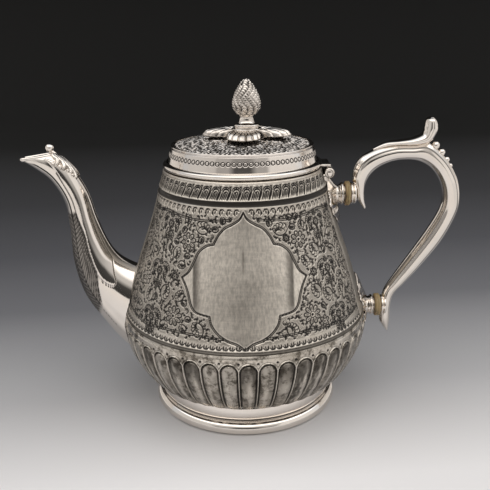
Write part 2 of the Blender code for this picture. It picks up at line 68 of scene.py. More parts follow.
# The bowl's flutes: how many, a lobe's half width as a share of the pitch, where they start and end along
# the bowl's side, and how far round the first one is turned
FLUTES = 44
LOBE_HALF = 0.445
FLUTE_FOOT = 3.6
ARCH_DROP = 5.2
FLUTE_PHASE = 0.35

# The chased panel and the band of leaves: heights, ends in degrees, and the depth of the festooned edge
PANEL_LOW = 61.4
PANEL_HIGH = 132.2
PANEL_LEFT, PANEL_RIGHT = -78.0, 70.0
FESTOON = 3.6
BAND_LOW = 136.5
BAND_HIGH = 144.5
LEAF_COUNT = 54

# The lid's stamped rings, its crown and finial, and the hinge's axis as (x, z)
RING_COUNT = 88
RING_HEIGHT = 154.4
CROWN_HEIGHT = 162.4
FINIAL_X = 2.7
HINGE = (49.9, 142.3)

# Stations across a piece that lies in the XZ plane: outer x and z, inner x and z, half width
SPOUT_STATIONS = [
    (-62.0, 29.0, -57.0, 84.0, 15.5),
    (-74.0, 34.8, -65.1, 86.3, 15.5),
    (-86.6, 50.7, -73.5, 90.8, 14.2),
    (-97.6, 68.3, -78.8, 96.3, 12.4),
    (-102.7, 89.2, -83.2, 104.8, 10.4),
    (-103.4, 110.0, -87.2, 116.0, 8.6),
    (-105.4, 126.2, -91.8, 132.0, 7.2),
    (-111.8, 138.4, -100.4, 146.6, 6.6),
    (-119.5, 145.2, -111.6, 154.8, 5.8),
    (-128.2, 150.7, -127.7, 152.8, 2.6),
]
HANDLE_STATIONS = [
    (72.0, 118.6, 72.9, 119.4, 0.6),
    (67.6, 124.5, 72.0, 124.0, 2.6),
    (66.0, 131.0, 71.8, 130.5, 3.6),
    (64.2, 139.0, 73.0, 136.2, 4.4),
    (67.4, 148.1, 76.3, 141.1, 5.0),
    (75.0, 153.6, 81.5, 144.9, 5.2),
    (87.3, 157.0, 88.9, 147.5, 5.2),
    (99.0, 157.2, 97.2, 148.0, 5.2),
    (107.5, 157.8, 103.8, 146.7, 5.2),
    (115.6, 151.6, 109.6, 143.3, 5.2),
    (121.6, 144.3, 114.2, 137.8, 5.2),
    (126.4, 134.8, 117.1, 131.0, 5.2),
    (128.2, 123.5, 117.8, 124.0, 5.3),
    (126.7, 114.6, 116.2, 117.0, 5.2),
    (119.4, 99.0, 110.0, 105.4, 5.2),
    (107.5, 82.7, 99.2, 88.6, 5.0),
    (98.2, 71.7, 90.8, 75.8, 4.6),
    (92.3, 64.8, 85.6, 66.7, 4.0),
    (90.5, 57.5, 84.2, 57.5, 3.6),
    (90.3, 48.0, 83.9, 48.0, 3.2),
    (89.9, 42.5, 86.2, 43.2, 2.0),
    (89.6, 39.8, 88.8, 39.8, 0.5),
]
LEAF_STATIONS = [
    (75.5, 154.6, 76.5, 153.4, 1.2),
    (82.5, 158.4, 83.2, 155.6, 3.2),
    (90.5, 159.6, 90.3, 156.4, 4.4),
    (98.0, 160.8, 99.0, 156.2, 5.0),
    (103.6, 163.2, 107.8, 157.6, 5.6),
    (104.6, 166.6, 112.0, 163.4, 5.8),
    (105.0, 169.4, 112.3, 167.8, 5.4),
    (105.6, 171.3, 111.3, 170.7, 4.6),
    (107.2, 172.5, 109.6, 172.4, 2.4),
]
KEEL = math.radians(61)
FERN_PITCH, TAIL_PITCH = 2.5, 1.8
GRIP_CREASES = (math.radians(58), math.radians(126))
LIP_BACK = (-110.8, 154.0)
LIP_TIP = (-128.3, 151.3)
# Beads on the grip: x, z, radius
BEADS = [(111.9, 155.9, 2.5), (115.7, 151.8, 2.2), (118.9, 147.4, 1.9), (121.2, 143.9, 1.5)]
# The brackets' axes, and their leaves: root height, tip height, half width, how far the rib stands off
UPPER_Z, LOWER_Z = 128.3, 57.3
UPPER_LEAVES = [(131.0, 110.2, 15.0, 5.0), (126.0, 135.6, 12.0, 3.0)]
LOWER_LEAVES = [(61.0, 78.5, 14.0, 3.8), (55.0, 42.2, 12.0, 2.8)]

# The cartouche's right half, as angle in degrees and height in millimetres, from the top point down
CARTOUCHE_HALF = [
    [(0.0, 130.0), (2.3, 126.6), (6.6, 124.0), (10.8, 122.0), (14.2, 118.4), (16.6, 113.8)],
    [(16.6, 113.8), (20.9, 112.6), (24.8, 109.2), (26.8, 104.2), (28.9, 99.2), (32.4, 95.9)],
    [(32.4, 95.9), (29.2, 91.6), (27.0, 87.2), (25.4, 83.0), (22.6, 79.8), (15.8, 78.4)],
    [(15.8, 78.4), (14.6, 74.0), (11.6, 69.8), (7.6, 66.9), (3.2, 65.0), (0.0, 62.2)],
]
CARTOUCHE_MIDDLE = 96
# Flower eyes: angle, height, petal radius, number of petals
BLOSSOMS = [(32.4, 114.6, 4.6, 8), (-32.6, 114.2, 4.6, 8), (32.6, 75.6, 5.4, 9), (-34.6, 75.4, 5.4, 9)]
# Large flowers with drooping fronds, and small flowers: angle, height
PALMETTES = [(48.9, 121.2), (-48.6, 121.2), (48.6, 96.4), (-49.4, 96.0), (49.2, 71.0), (-48.8, 71.0)]
SMALL_EYES = [(38.0, 96.8), (-37.4, 95.4)]
# What fills the rest of the panel: radii from large to small, how often each is tried, and the least radius
# of a frond and of a sprig
FILL_SIZES = (4.4, 3.5, 2.8, 2.1, 1.5, 1.1, 0.8, 0.55)
FILL_TRIES = (600, 900, 1200, 1800, 3000, 5000, 8000, 9000)
FROND_SIZE, SPRIG_SIZE = 1.8, 1.2

# The backdrop's painted light falloff: its tones by distance from the pot in metres, pale in front and dark
# behind, their tints, and the pale sides
PAINTED_FALLOFF = [
    (-0.45, 0.88),
    (-0.10, 0.83),
    (0.0, 0.455),
    (0.15, 0.153),
    (0.30, 0.078),
    (0.52, 0.038),
    (1.0, 0.0085),
]
PAINTED_FALLOFF_TINTS = [
    (1, 0.972, 0.945),
    (0.985, 0.975, 0.983),
    (0.985, 0.985, 1.01),
    (0.985, 1, 1.08),
    (0.985, 1, 1.11),
    (0.985, 1, 1.09),
    (1, 1.02, 1),
]
PALE_SIDES = (0.80, 0.785, 0.77, 1.0)
PALE_FROM, PALE_FULL, PALE_SLANT = 0.36, 0.60, 0.42
# The floor's end, its bend's radius, the back's height and half the floor's width, in metres
FLOOR_END, BEND, BACK_TOP, FLOOR_HALF = 1.15, 0.5, 2.6, 9.0
# The tent's strengths: the wall's foot and top, the side panels, the ceiling and the dark back
TENT_LOW = 0.26
TENT_HIGH = 0.60
SIDE_PANEL = 0.74
CEILING = 1.25
DARK_BACK = 0.012
COOL_LIGHT, WARM_LIGHT = (0.93, 0.96, 1.0, 1.0), (1.0, 0.965, 0.93, 1.0)
# The painted falloff leans, so the backdrop is painted lighter on the right
FALLOFF_LEAN = 0.105  # how much the backdrop's tones slant to one side

# The camera: its place in metres, and its turns in degrees
CAMERA_PLACE = (0.0, -0.4038, 0.2245)
CAMERA_PAN, CAMERA_DIP, CAMERA_ROLL = -0.11, 17.51, -0.81
LENS = 51.46

# The black that tarnish and painted shade darken towards
TARNISH_AND_SHADE_BLACK = (0.035, 0.03, 0.025, 1.0)
CUT_BLACK = (0.012, 0.010, 0.009, 1.0)


# ---------------------------------------------------------------- small tools


def smooth_rows(rows, steps):
    """Catmull-Rom rows through the given rows, with so many steps to each stretch."""
    rows = np.array(rows, float)
    padded = np.vstack([2 * rows[0] - rows[1], rows, 2 * rows[-1] - rows[-2]])
    t = (np.arange(steps) / steps)[:, None]
    found = []
    for a, b, c, d in zip(padded, padded[1:], padded[2:], padded[3:]):
        square = (2 * a - 5 * b + 4 * c - d) * t**2
        cube = (3 * b - a - 3 * c + d) * t**3
        found.append(0.5 * (2 * b + (c - a) * t + square + cube))
    return np.vstack([*found, rows[-1:]])


def bump(x, width):
    return np.exp(-((x / width) ** 2))


def smooth_step(low, high, x):
    t = np.clip((x - low) / (high - low), 0.0, 1.0)
    return t * t * (3 - 2 * t)


def window(low, rise, fall, high, x):
    """1 between rise and fall, and 0 below low and above high."""
    return smooth_step(low, rise, x) * (1 - smooth_step(fall, high, x))


def line_mark(distance, inner, outer):
    """1 within an inner distance of a line, and 0 beyond an outer one."""
    return 1 - smooth_step(inner, outer, np.abs(distance))


def zigzag(x):
    """1 at whole numbers and 0 halfway between them."""
    return np.abs((x % 1.0) - 0.5) * 2


def moulded(radii, heights, ridges):
    """Radii with narrow ridges and grooves: each is (height, width, how far it stands out)."""
    for height, width, stand in ridges:
        radii = radii + stand * bump(heights - height, width)
    return radii


def arc(centre, radius, start, end, steps):
    angles = np.radians(np.linspace(start, end, steps + 1))
    return [(centre[0] + radius * math.cos(a), centre[1] + radius * math.sin(a)) for a in angles]


def turns(count):
    """So many angles, evenly round a full turn."""
    return math.tau * np.arange(count) / count


def from_edge(a):
    """How far an angle lies from a section's outer edge, on either side of it."""
    return np.abs(((a + math.pi) % math.tau) - math.pi)


def toward(a):
    return np.array([math.cos(a), math.sin(a)])


def travelled(points):
    """How far along a line each of its points lies."""
    return np.concatenate([[0], np.cumsum(np.linalg.norm(np.diff(points, axis=0), axis=1))])


def evenly(points, count):
    """So many points at even steps along a line."""
    at = travelled(points)
    even = np.linspace(0, at[-1], count)
    return np.stack([np.interp(even, at, column) for column in points.T], axis=-1)


def surface_normals(points):
    """Unit normals of a grid of points, pointing out of a surface whose rows run upwards."""
    across = np.roll(points, -1, axis=1) - np.roll(points, 1, axis=1)
    along = np.gradient(points, axis=0)
    normal = np.cross(across, along)
    return normal / np.maximum(np.linalg.norm(normal, axis=-1, keepdims=True), 1e-9)


# ---------------------------------------------------------------- meshes


def finish_object(name, mesh, body, skin, sharp=None):
    mesh.materials.append(skin)
    mesh.shade_smooth()
    if sharp:
        mesh.set_sharp_from_angle(angle=math.radians(sharp))
    made = bpy.data.objects.new(name, mesh)
    bpy.context.scene.collection.objects.link(made)
    if body:
        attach(made, body)
    return made


def paint(mesh, marks):
    """Stores one value for each point of a mesh under each mark's name."""
    for mark, values in (marks or {}).items():
        layer = mesh.attributes.new(mark, "FLOAT", "POINT")
        layer.data.foreach_set("value", np.ascontiguousarray(values, dtype=np.float32).ravel())


def mesh_object(name, verts, faces, body, skin, marks=None, sharp=None):
    mesh = bpy.data.meshes.new(name)
    mesh.from_pydata([tuple(v) for v in np.asarray(verts) * MM], [], faces)
    paint(mesh, marks)
    mesh.update()
    return finish_object(name, mesh, body, skin, sharp)


def grid_object(name, points, body, skin, wrap=True, marks=None, sharp=None, caps=False, flip=False):
    """A surface through rows of points; wrap joins each row's ends, caps closes the first and last rows."""
    rows, cols = points.shape[:2]
    index = np.arange(rows * cols).reshape(rows, cols)
    right = np.roll(index, -1, axis=1) if wrap else index[:, 1:]
    left = index if wrap else index[:, :-1]
    quads = np.stack([left[:-1], right[:-1], right[1:], left[1:]], axis=-1).reshape(-1, 4)
    if flip:
        quads = quads[:, ::-1]
    loops = quads.ravel()
    starts = np.arange(0, loops.size, 4)
    if caps:
        ends = [index[0][::-1], index[-1]]
        if flip:
            ends = [end[::-1] for end in ends]
        starts = np.concatenate([starts, [loops.size, loops.size + cols]])
        loops = np.concatenate([loops, *ends])
    mesh = bpy.data.meshes.new(name)
    mesh.vertices.add(rows * cols)
    mesh.vertices.foreach_set("co", (points * MM).astype(np.float32).ravel())
    mesh.loops.add(loops.size)
    mesh.loops.foreach_set("vertex_index", loops.astype(np.int32))
    mesh.polygons.add(starts.size)
    mesh.polygons.foreach_set("loop_start", starts.astype(np.int32))
    mesh.update(calc_edges=True)
    mesh.validate()
    paint(mesh, marks)
    return finish_object(name, mesh, body, skin, sharp)


def apply_modifiers(made):
    graph = bpy.context.evaluated_depsgraph_get()
    evaluated = made.evaluated_get(graph)
    fresh = bpy.data.meshes.new_from_object(evaluated, preserve_all_data_layers=True, depsgraph=graph)
    made.modifiers.clear()
    made.data = fresh


def face_out(made):
    """Turns all of a closed mesh's faces outwards."""
    bm = bmesh.new()
    bm.from_mesh(made.data)
    bmesh.ops.recalc_face_normals(bm, faces=bm.faces)
    bm.to_mesh(made.data)
    bm.free()


def thicken(made, thickness):
    shell = made.modifiers.new("thickness", "SOLIDIFY")
    shell.thickness = thickness * MM
    shell.offset = 0.0
    apply_modifiers(made)


def cut_away(target, cutters):
    for cutter in cutters:
        modifier = target.modifiers.new(cutter.name, "BOOLEAN")
        modifier.operation = "DIFFERENCE"
        modifier.solver = "EXACT"
        modifier.object = cutter
    apply_modifiers(target)
    for cutter in cutters:
        bpy.data.objects.remove(cutter)


def stand_in(made, node):
    """Hides the imported model's named part that a finished piece stands in for."""
    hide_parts(node)


def with_ends(values, before, after, fill=0.0):
    """A mark's rows, with plain rows before them and rows of one value after them."""
    cols = values.shape[1]
    return np.concatenate([np.zeros((before, cols)), values, np.full((after, cols), fill)])


def spun_points(outline, cols, along="Z", centre=(0.0, 0.0, 0.0)):
    """Rows of points from spinning (radius, height) round an axis; column 0 faces -Y on a Z axis."""
    outline = np.array(outline, float)
    a = turns(cols)
    radius, height = outline[:, :1], outline[:, 1:2] + 0 * a
    if along == "Z":
        parts = (radius * np.sin(a), -radius * np.cos(a), height)
    elif along == "X":
        parts = (height, radius * np.sin(a), -radius * np.cos(a))
    else:
        parts = (-radius * np.sin(a), height, -radius * np.cos(a))
    return np.stack(parts, axis=-1) + np.array(centre, float)


def spun(name, outline, body, skin, cols, along="Z", centre=(0.0, 0.0, 0.0)):
    """A turned piece; its outline runs from the bottom up the outside, then down the inside."""
    points = spun_points(outline, cols, along, centre)
    closed = np.concatenate([points, points[:1]])
    if min(outline[0][0], outline[-1][0]) < 0.02:
        closed = points
    made = grid_object(name, closed, body, skin, sharp=40)
    tidy = made.modifiers.new("weld", "WELD")
    tidy.merge_threshold = 0.00001
    apply_modifiers(made)
    return made


def tube_points(stations, cols, ridges=None, grow=0.0):
    """Rings through stations across a piece that lies in the XZ plane; column 0 is its outer edge."""
    a = turns(cols)
    outer, inner = stations[:, 0:2], stations[:, 2:4]
    width = stations[:, 4:5]
    reach = (outer - inner) / 2
    size = np.linalg.norm(reach, axis=1, keepdims=True)
    reach = reach * (np.maximum(size + grow, 0.3) / size)
    width = np.maximum(width + grow, 0.3)
    centre = (outer + inner) / 2
    swell = 1.0 if ridges is None else ridges(a)[None, :]
    along_reach, along_width = np.cos(a)[None, :] * swell, np.sin(a)[None, :] * swell
    x = centre[:, :1] + reach[:, :1] * along_reach
    z = centre[:, 1:] + reach[:, 1:] * along_reach
    return np.stack([x, width * along_width, z], axis=-1)


def swept(name, path, radius, body, skin):
    """A round bar along a path, with its own radius at each point."""
    path = np.array(path, float)
    tangent = np.gradient(path, axis=0)
    tangent /= np.linalg.norm(tangent, axis=1, keepdims=True)
    side = np.cross(tangent, (0.0, 0.0, 1.0))
    side /= np.maximum(np.linalg.norm(side, axis=1, keepdims=True), 1e-6)
    up = np.cross(side, tangent)
    a = turns(20)
    radius = np.broadcast_to(radius, len(path))[:, None, None]
    ring = side[:, None, :] * np.cos(a)[None, :, None] + up[:, None, :] * np.sin(a)[None, :, None]
    made = grid_object(name, path[:, None, :] + radius * ring, body, skin, caps=True)
    face_out(made)
    return made


def ball(name, centre, radius, body, skin, cols=32, rows=20):
    a = turns(cols)
    b = np.linspace(-math.pi / 2 + 0.02, math.pi / 2 - 0.02, rows)[:, None]
    x = radius * np.cos(b) * np.sin(a)
    y = -radius * np.cos(b) * np.cos(a)
    z = radius * np.sin(b) + 0 * a
    points = np.stack([x, y, z], axis=-1) + np.array(centre, float)
    made = grid_object(name, points, body, skin, caps=True)
    face_out(made)
    return made


# ---------------------------------------------------------------- materials


class Nodes:
    """Short calls for building one node tree: a new material's, or the one that is given."""

    def __init__(self, name, tree=None):
        if tree is None:
            self.material = bpy.data.materials.new(name)
            self.material.use_nodes = True
            tree = self.material.node_tree
            self.shader = tree.nodes["Principled BSDF"]
        self.tree = tree

    def add(self, kind, values=None, **settings):
        node = self.tree.nodes.new(kind)
        for key, value in settings.items():
            setattr(node, key, value)
        for key, value in (values or {}).items():
            self.feed(node, key, value)
        return node

    def feed(self, node, key, value):
        if isinstance(value, bpy.types.NodeSocket):
            self.tree.links.new(value, node.inputs[key])
        else:
            node.inputs[key].default_value = value

    def math(self, operation, a, b=0.0, clamp=False):
        return self.add("ShaderNodeMath", {0: a, 1: b}, operation=operation, use_clamp=clamp).outputs[0]

    def noise(self, where, scale, detail, roughness=0.55):
        values = {"Vector": where, "Scale": scale, "Detail": detail, "Roughness": roughness}
        return self.add("ShaderNodeTexNoise", values).outputs["Fac"]

    def stretch(self, where, scale):
        return self.add("ShaderNodeMapping", {"Vector": where, "Scale": scale}).outputs["Vector"]

    def spread(self, value, low, high, to_low=0.0, to_high=1.0):
        values = {"Value": value, "From Min": low, "From Max": high, "To Min": to_low, "To Max": to_high}
        return self.add("ShaderNodeMapRange", values, clamp=True).outputs["Result"]

    def mix(self, factor, a, b):
        node = self.add("ShaderNodeMix", data_type="RGBA")
        self.feed(node, 0, factor)
        self.feed(node, 6, a)
        self.feed(node, 7, b)
        return node.outputs[2]


def scaled(colour, factor):
    return (*[min(c * factor, 1.0) for c in colour], 1.0)


def silver(name, colour, roughness, tarnish, smudge, dents=0.00001, grime=0.0, brushed=False):
    """Silver whose marks are painted by its mesh.

    "cut" is a dark cut, "dull" is satin, "shade" is tarnish and painted shade,
    "plate" is where the surface is kept clean and brushed, and on the bowl also a painted highlight.
    """
    n = Nodes(name)
    where = n.add("ShaderNodeTexCoord").outputs["Object"]
    marks = [n.add("ShaderNodeAttribute", attribute_name=mark) for mark in ("cut", "dull", "shade", "plate")]
    cut, dull, shade, plate = (mark.outputs["Fac"] for mark in marks)
    cloud = n.noise(where, 38.0, 6.0, 0.6)
    fine = n.noise(where, 420.0, 4.0, 0.5)
    stain = n.math("MULTIPLY", n.spread(cloud, 0.46, 0.68), n.math("SUBTRACT", 1.0, plate))
    worn_and_shaded = n.mix(n.math("MULTIPLY", stain, smudge * 4), (*colour, 1.0), (*tarnish, 1.0))
    if grime:
        speck = n.spread(n.noise(where, 190.0, 6.0, 0.7), 0.47, 0.60)
        speck = n.math("MULTIPLY", speck, n.math("SUBTRACT", grime, n.math("MULTIPLY", plate, grime * 0.8)))
        worn_and_shaded = n.mix(speck, worn_and_shaded, scaled(tarnish, 0.42))
    height = fine
    if brushed:
        streak = n.noise(n.stretch(where, (1.0, 1.0, 0.05)), 900.0, 6.0, 0.65)
        rub = n.noise(n.stretch(where, (0.08, 1.0, 1.0)), 700.0, 5.0, 0.65)
        blend = n.math("ADD", n.math("MULTIPLY", streak, 0.7), n.math("MULTIPLY", rub, 0.3))
        silk = n.mix(n.spread(blend, 0.40, 0.60), scaled(colour, 1.16), scaled(colour, 0.76))
        worn_and_shaded = n.mix(plate, worn_and_shaded, silk)
        height = n.math("ADD", fine, n.math("MULTIPLY", n.math("MULTIPLY", streak, plate), 0.6))
    # The shade mark darkens the colour towards black: tarnish, and painted shade.
    worn_and_shaded = n.mix(n.math("MULTIPLY", shade, 0.9), worn_and_shaded, TARNISH_AND_SHADE_BLACK)
    n.feed(n.shader, "Base Color", n.mix(cut, worn_and_shaded, CUT_BLACK))
    rough = n.spread(cloud, 0.35, 0.75, roughness, roughness + smudge)
    rough = n.math("ADD", rough, n.math("MULTIPLY", dull, 0.22))
    rough = n.math("ADD", rough, n.math("MULTIPLY", n.math("MAXIMUM", cut, shade), 0.25), clamp=True)
    n.feed(n.shader, "Roughness", rough)
    n.feed(n.shader, "Metallic", n.spread(cut, 0.3, 1.0, 1.0, 0.6))
    relief = n.add("ShaderNodeBump", {"Height": height, "Strength": 0.5, "Distance": dents})
    n.feed(n.shader, "Normal", relief.outputs["Normal"])
    return n.material


def bone_material():
    n = Nodes("aged_bone")
    where = n.add("ShaderNodeTexCoord").outputs["Object"]
    grain = n.noise(n.stretch(where, (30.0, 1.0, 1.0)), 160.0, 5.0)
    blotch = n.noise(where, 260.0, 3.0)
    tone = n.mix(n.spread(grain, 0.35, 0.7), (0.42, 0.31, 0.16, 1.0), (0.17, 0.115, 0.055, 1.0))
    n.feed(n.shader, "Base Color", n.mix(n.spread(blotch, 0.55, 0.75), tone, (0.08, 0.055, 0.03, 1.0)))
    n.feed(n.shader, "Roughness", n.spread(grain, 0.3, 0.7, 0.32, 0.55))
    n.feed(n.shader, "Subsurface Weight", 0.08)
    relief = n.add("ShaderNodeBump", {"Height": grain, "Strength": 0.4, "Distance": 0.0001})
    n.feed(n.shader, "Normal", relief.outputs["Normal"])
    return n.material


def brass_material():
    n = Nodes("fixing_brass")
    where = n.add("ShaderNodeTexCoord").outputs["Object"]
    cloud = n.noise(where, 220.0, 5.0)
    tone = n.mix(n.spread(cloud, 0.4, 0.7), (0.72, 0.55, 0.27, 1.0), (0.35, 0.24, 0.1, 1.0))
    n.feed(n.shader, "Base Color", tone)
    n.feed(n.shader, "Metallic", 1.0)
    n.feed(n.shader, "Roughness", n.spread(cloud, 0.3, 0.8, 0.25, 0.5))
    return n.material


FINE_DENTS = 0.000006  # metres
POLISHED = silver("polished_silver", (0.86, 0.805, 0.745), 0.06, (0.50, 0.43, 0.37), 0.04, FINE_DENTS)
CAST = silver("cast_silver", (0.80, 0.745, 0.685), 0.11, (0.34, 0.285, 0.23), smudge=0.07, grime=0.5)
CHASED = silver("chased_silver", (0.69, 0.64, 0.57), 0.25, (0.44, 0.39, 0.33), 0.08, 0.00002, 0.22, True)
FLUTED = silver("fluted_silver", (0.66, 0.61, 0.54), 0.17, (0.24, 0.205, 0.16), 0.14, 0.00002, 0.9)
LID_SILVER = silver("lid_silver", (0.83, 0.775, 0.72), 0.07, (0.45, 0.39, 0.33), smudge=0.06)
BONE = bone_material()
BRASS = brass_material()


# ---------------------------------------------------------------- engraving


class Strokes:
    """A bag of engraved strokes on a turned surface, and of the raised masses that they outline."""

    SPACING = 0.16  # between the samples along a stroke
    REACH = 1.2  # how far from a stroke or mass its distance is measured

    def __init__(self, radius_at, height_at):
        self.radius_at = radius_at
        self.height_at = height_at
        self.points, self.widths = [], []
        self.mass_points, self.mass_widths = [], []

    def place(self, angle, height, offsets):
        """Surface points for offsets (right, up) in millimetres from a spot at an angle in degrees."""
        offsets = np.atleast_2d(offsets)
        up = self.height_at(height, offsets[:, 1])
        radius = self.radius_at(up)
        a = math.radians(angle) + offsets[:, 0] / np.maximum(radius, 1.0)
        return np.stack([radius * np.sin(a), -radius * np.cos(a), up], axis=-1)

    def sampled(self, offsets):
        offsets = np.array(offsets, float)
        count = max(int(travelled(offsets)[-1] / self.SPACING), 2)
        return evenly(offsets, count)

    def line(self, angle, height, offsets, width, both=True):
        """One stroke through offsets, tapered at both ends; it is repeated on the far side of the pot."""
        fine = self.sampled(offsets)
        count = len(fine)
        from_end = np.minimum(np.arange(count), np.arange(count)[::-1])
        taper = np.clip(from_end / max(count * 0.3, 1), 0.35, 1.0)
        points = self.place(angle, height, fine)
        self.points.append(points)
        self.widths.append(width * taper)
        if both:
            self.points.append(points * np.array([1, -1, 1]))
            self.widths.append(width * taper)

    def mass(self, angle, height, offsets, width):
        """A raised body round a line through offsets."""
        points = self.place(angle, height, self.sampled(offsets)[::2])
        self.mass_points += [points, points * np.array([1, -1, 1])]
        self.mass_widths += [np.full(len(points), width)] * 2

    def circle(self, angle, height, centre, radius, width, start=0, end=360, both=True):
        a = np.radians(np.linspace(start, end, max(int(abs(end - start) / 12), 4)))
        ring = np.stack([centre[0] + radius * np.cos(a), centre[1] + radius * np.sin(a)], axis=-1)
        self.line(angle, height, ring, width, both)

    def measure(self, points, masses=False):
        """For each point, how far it lies outside the nearest stroke's or mass's edge, up to a reach."""
        samples = np.vstack(self.mass_points if masses else self.points)
        widths = np.concatenate(self.mass_widths if masses else self.widths)
        tree = kdtree.KDTree(len(samples))
        for i, point in enumerate(samples.tolist()):
            tree.insert(point, i)
        tree.balance()
        flat = points.reshape(-1, 3)
        found = np.full(len(flat), self.REACH)
        widths = widths.tolist()
        for i, point in enumerate(flat.tolist()):
            _, nearest, distance = tree.find(point)
            found[i] = distance - widths[nearest]
        return np.minimum(found, self.REACH).reshape(points.shape[:2])


def blossom(strokes, angle, height, radius, petals, eye):
    """A flower: a dark eye with a ring round it, and lobed petals with a vein each."""
    strokes.circle(angle, height, (0, 0), eye * 0.3, eye * 0.7)
    strokes.circle(angle, height, (0, 0), eye * 2.1, 0.12)
    half = math.pi / petals
    inner = radius * 0.42
    for k in range(petals):
        a0 = math.tau * (k + 0.3) / petals
        lobe = []
        for t in np.linspace(-1, 1, 9):
            reach = inner + (radius - inner) * math.sqrt(max(0.0, 1 - abs(t) ** 2.6))
            lobe.append(reach * toward(a0 + t * half * 0.92))
        strokes.line(angle, height, lobe, 0.2)
        girth = 0.3 * radius * min(half * 1.6, 0.9)
        strokes.mass(angle, height, [(0, 0), 0.62 * radius * toward(a0)], girth)
        strokes.line(angle, height, [q * radius * toward(a0) for q in (0.5, 0.76)], 0.1)


def sprig(strokes, angle, height, radius, turn):
    """A small bud: two nested crescents and a stalk."""
    for k, size in enumerate((1.0, 0.55)):
        a = np.linspace(turn - 1.35, turn + 1.35, 9)
        crescent = radius * size * np.stack([np.cos(a), np.sin(a)], axis=-1)
        strokes.line(angle, height, crescent, 0.2 - 0.05 * k)
    stalk = radius * toward(turn)
    strokes.mass(angle, height, [(0, 0), 0.5 * stalk], radius * 0.5)
    strokes.line(angle, height, [(0, 0), -stalk], 0.13)


def curl(strokes, angle, height, radius, turn, hand):
    """Two nested hooks and an end dot, which fill a small gap."""
    first = math.degrees(turn)
    strokes.circle(angle, height, (0, 0), radius * 0.92, 0.17, first, first + hand * 210)
    strokes.circle(angle, height, (0, 0), radius * 0.42, 0.11, first + 40, first + 40 + hand * 190)


def frond(strokes, angle, height, root, length, turn, bend, lobes):
    """A cut leaf: a bent vein with hooked lobes down both sides, which shrink towards its tip."""
    at, heading = np.array(root, float), turn
    step = length / (lobes + 1)
    vein = [at.copy()]
    for k in range(lobes):
        heading += bend / lobes
        at = at + step * toward(heading)
        vein.append(at.copy())
        reach = length * (0.34 - 0.22 * k / lobes)
        for side in (-1, 1):
            away = heading + side * 1.05
            tip = at + reach * toward(away)
            end = tip + 0.6 * reach * toward(heading - side * 0.5)
            back = at + 0.6 * reach * toward(away + side * 0.55)
            strokes.line(angle, height, [back, tip, (tip + end) / 2 + (tip - at) * 0.08, end], 0.20)
            strokes.line(angle, height, [at, at + 0.6 * (tip - at)], 0.1)
            strokes.mass(angle, height, [at, at + 0.72 * (tip - at)], 0.2 * reach + 0.12)
    strokes.line(angle, height, vein, 0.12)
    strokes.mass(angle, height, vein, 0.4)


def filled_frond(strokes, angle, height, radius, turn, hand):
    """A frond curled up inside a circle, with a curl of its own behind it."""
    root = -0.80 * radius * toward(turn)
    frond(strokes, angle, height, root, radius * 1.85, turn - hand * 0.75, hand * 2.1, 5)
    first = math.degrees(turn) + hand * 60
    strokes.circle(angle, height, (0, 0), radius, 0.22, first, first + hand * 150)


def palmette(strokes, angle, height):
    """A large flower with fronds that droop to both sides, over a laddered stem between two leaves."""
    blossom(strokes, angle, height, 2.5, 6, eye=0.85)
    for side in (-1, 1):
        lean = 0.0 if side > 0 else math.pi
        frond(strokes, angle, height, (side * 1.7, 2.4), 7.0, lean + side * 0.95, -side * 1.9, 6)
        frond(strokes, angle, height, (side * 2.6, 0.2), 5.6, lean + side * 0.1, -side * 1.7, 5)
        frond(strokes, angle, height, (side * 1.1, -5.0), 4.8, lean - side * 0.2, -side * 1.5, 4)
        strokes.line(angle, height, [(side * 0.75, -2.6), (side * 0.8, -8.5), (side * 0.3, -11.8)], 0.24)
    frond(strokes, angle, height, (0, 2.6), 4.6, math.pi / 2, 0.2, 4)
    for rung in range(10):
        strokes.line(angle, height, [(-0.6, -3.1 - rung * 0.85), (0.6, -2.8 - rung * 0.85)], 0.18)


# ---------------------------------------------------------------- the body's outline and pattern

CONE_FINE = smooth_rows(CONE_OUTLINE, 12)


def cone_radius(height):
    return np.interp(height, CONE_FINE[:, 1], CONE_FINE[:, 0])


def cone_height(height, up):
    return height + up * CONE_SLOPE


def vessel_radius(height):
    rows = np.array(VESSEL_OUTLINE)
    return np.interp(height, rows[:, 1], rows[:, 0])


def cartouche_line():
    half = [smooth_rows(part, 6) for part in CARTOUCHE_HALF]
    right = np.vstack([part[:-1] if i < 3 else part for i, part in enumerate(half)])
    left = right[::-1][1:-1] * np.array([-1, 1])
    return np.vstack([right, left])


def inside_outline(outline, x, y):
    inside = np.zeros(x.shape, bool)
    ends = np.roll(outline, -1, axis=0)
    for (x0, y0), (x1, y1) in zip(outline, ends):
        crosses = (y0 > y) != (y1 > y)
        if y1 != y0:
            inside ^= crosses & (x < (x1 - x0) * (y - y0) / (y1 - y0) + x0)
    return inside


def pack_circles(blocked, sizes, tries):
    """Fills the panel with circles from large to small. Each is (angle, height, radius)."""
    found = []
    spots = np.zeros((len(blocked) + sum(tries), 3))
    spots[: len(blocked)] = blocked
    count = len(blocked)
    for size, attempts in zip(sizes, tries):
        angles = RANDOM.uniform(PANEL_LEFT, PANEL_RIGHT, attempts)
        heights = RANDOM.uniform(PANEL_LOW + FESTOON, PANEL_HIGH - FESTOON, attempts)
        for angle, height in zip(angles.tolist(), heights.tolist()):
            radius = float(cone_radius(height))
            edge = min(angle - PANEL_LEFT, PANEL_RIGHT - angle) * math.radians(1) * radius
            if edge < size or height - size < PANEL_LOW + FESTOON or height + size > PANEL_HIGH - FESTOON:
                continue
            known = spots[:count]
            across = np.radians(known[:, 0] - angle) * radius
            apart = across**2 + ((known[:, 1] - height) / CONE_SLOPE) ** 2
            if (apart < (known[:, 2] + size) ** 2).any():
                continue
            spots[count] = (angle, height, size)
            count += 1
            found.append((angle, height, size))
    return found


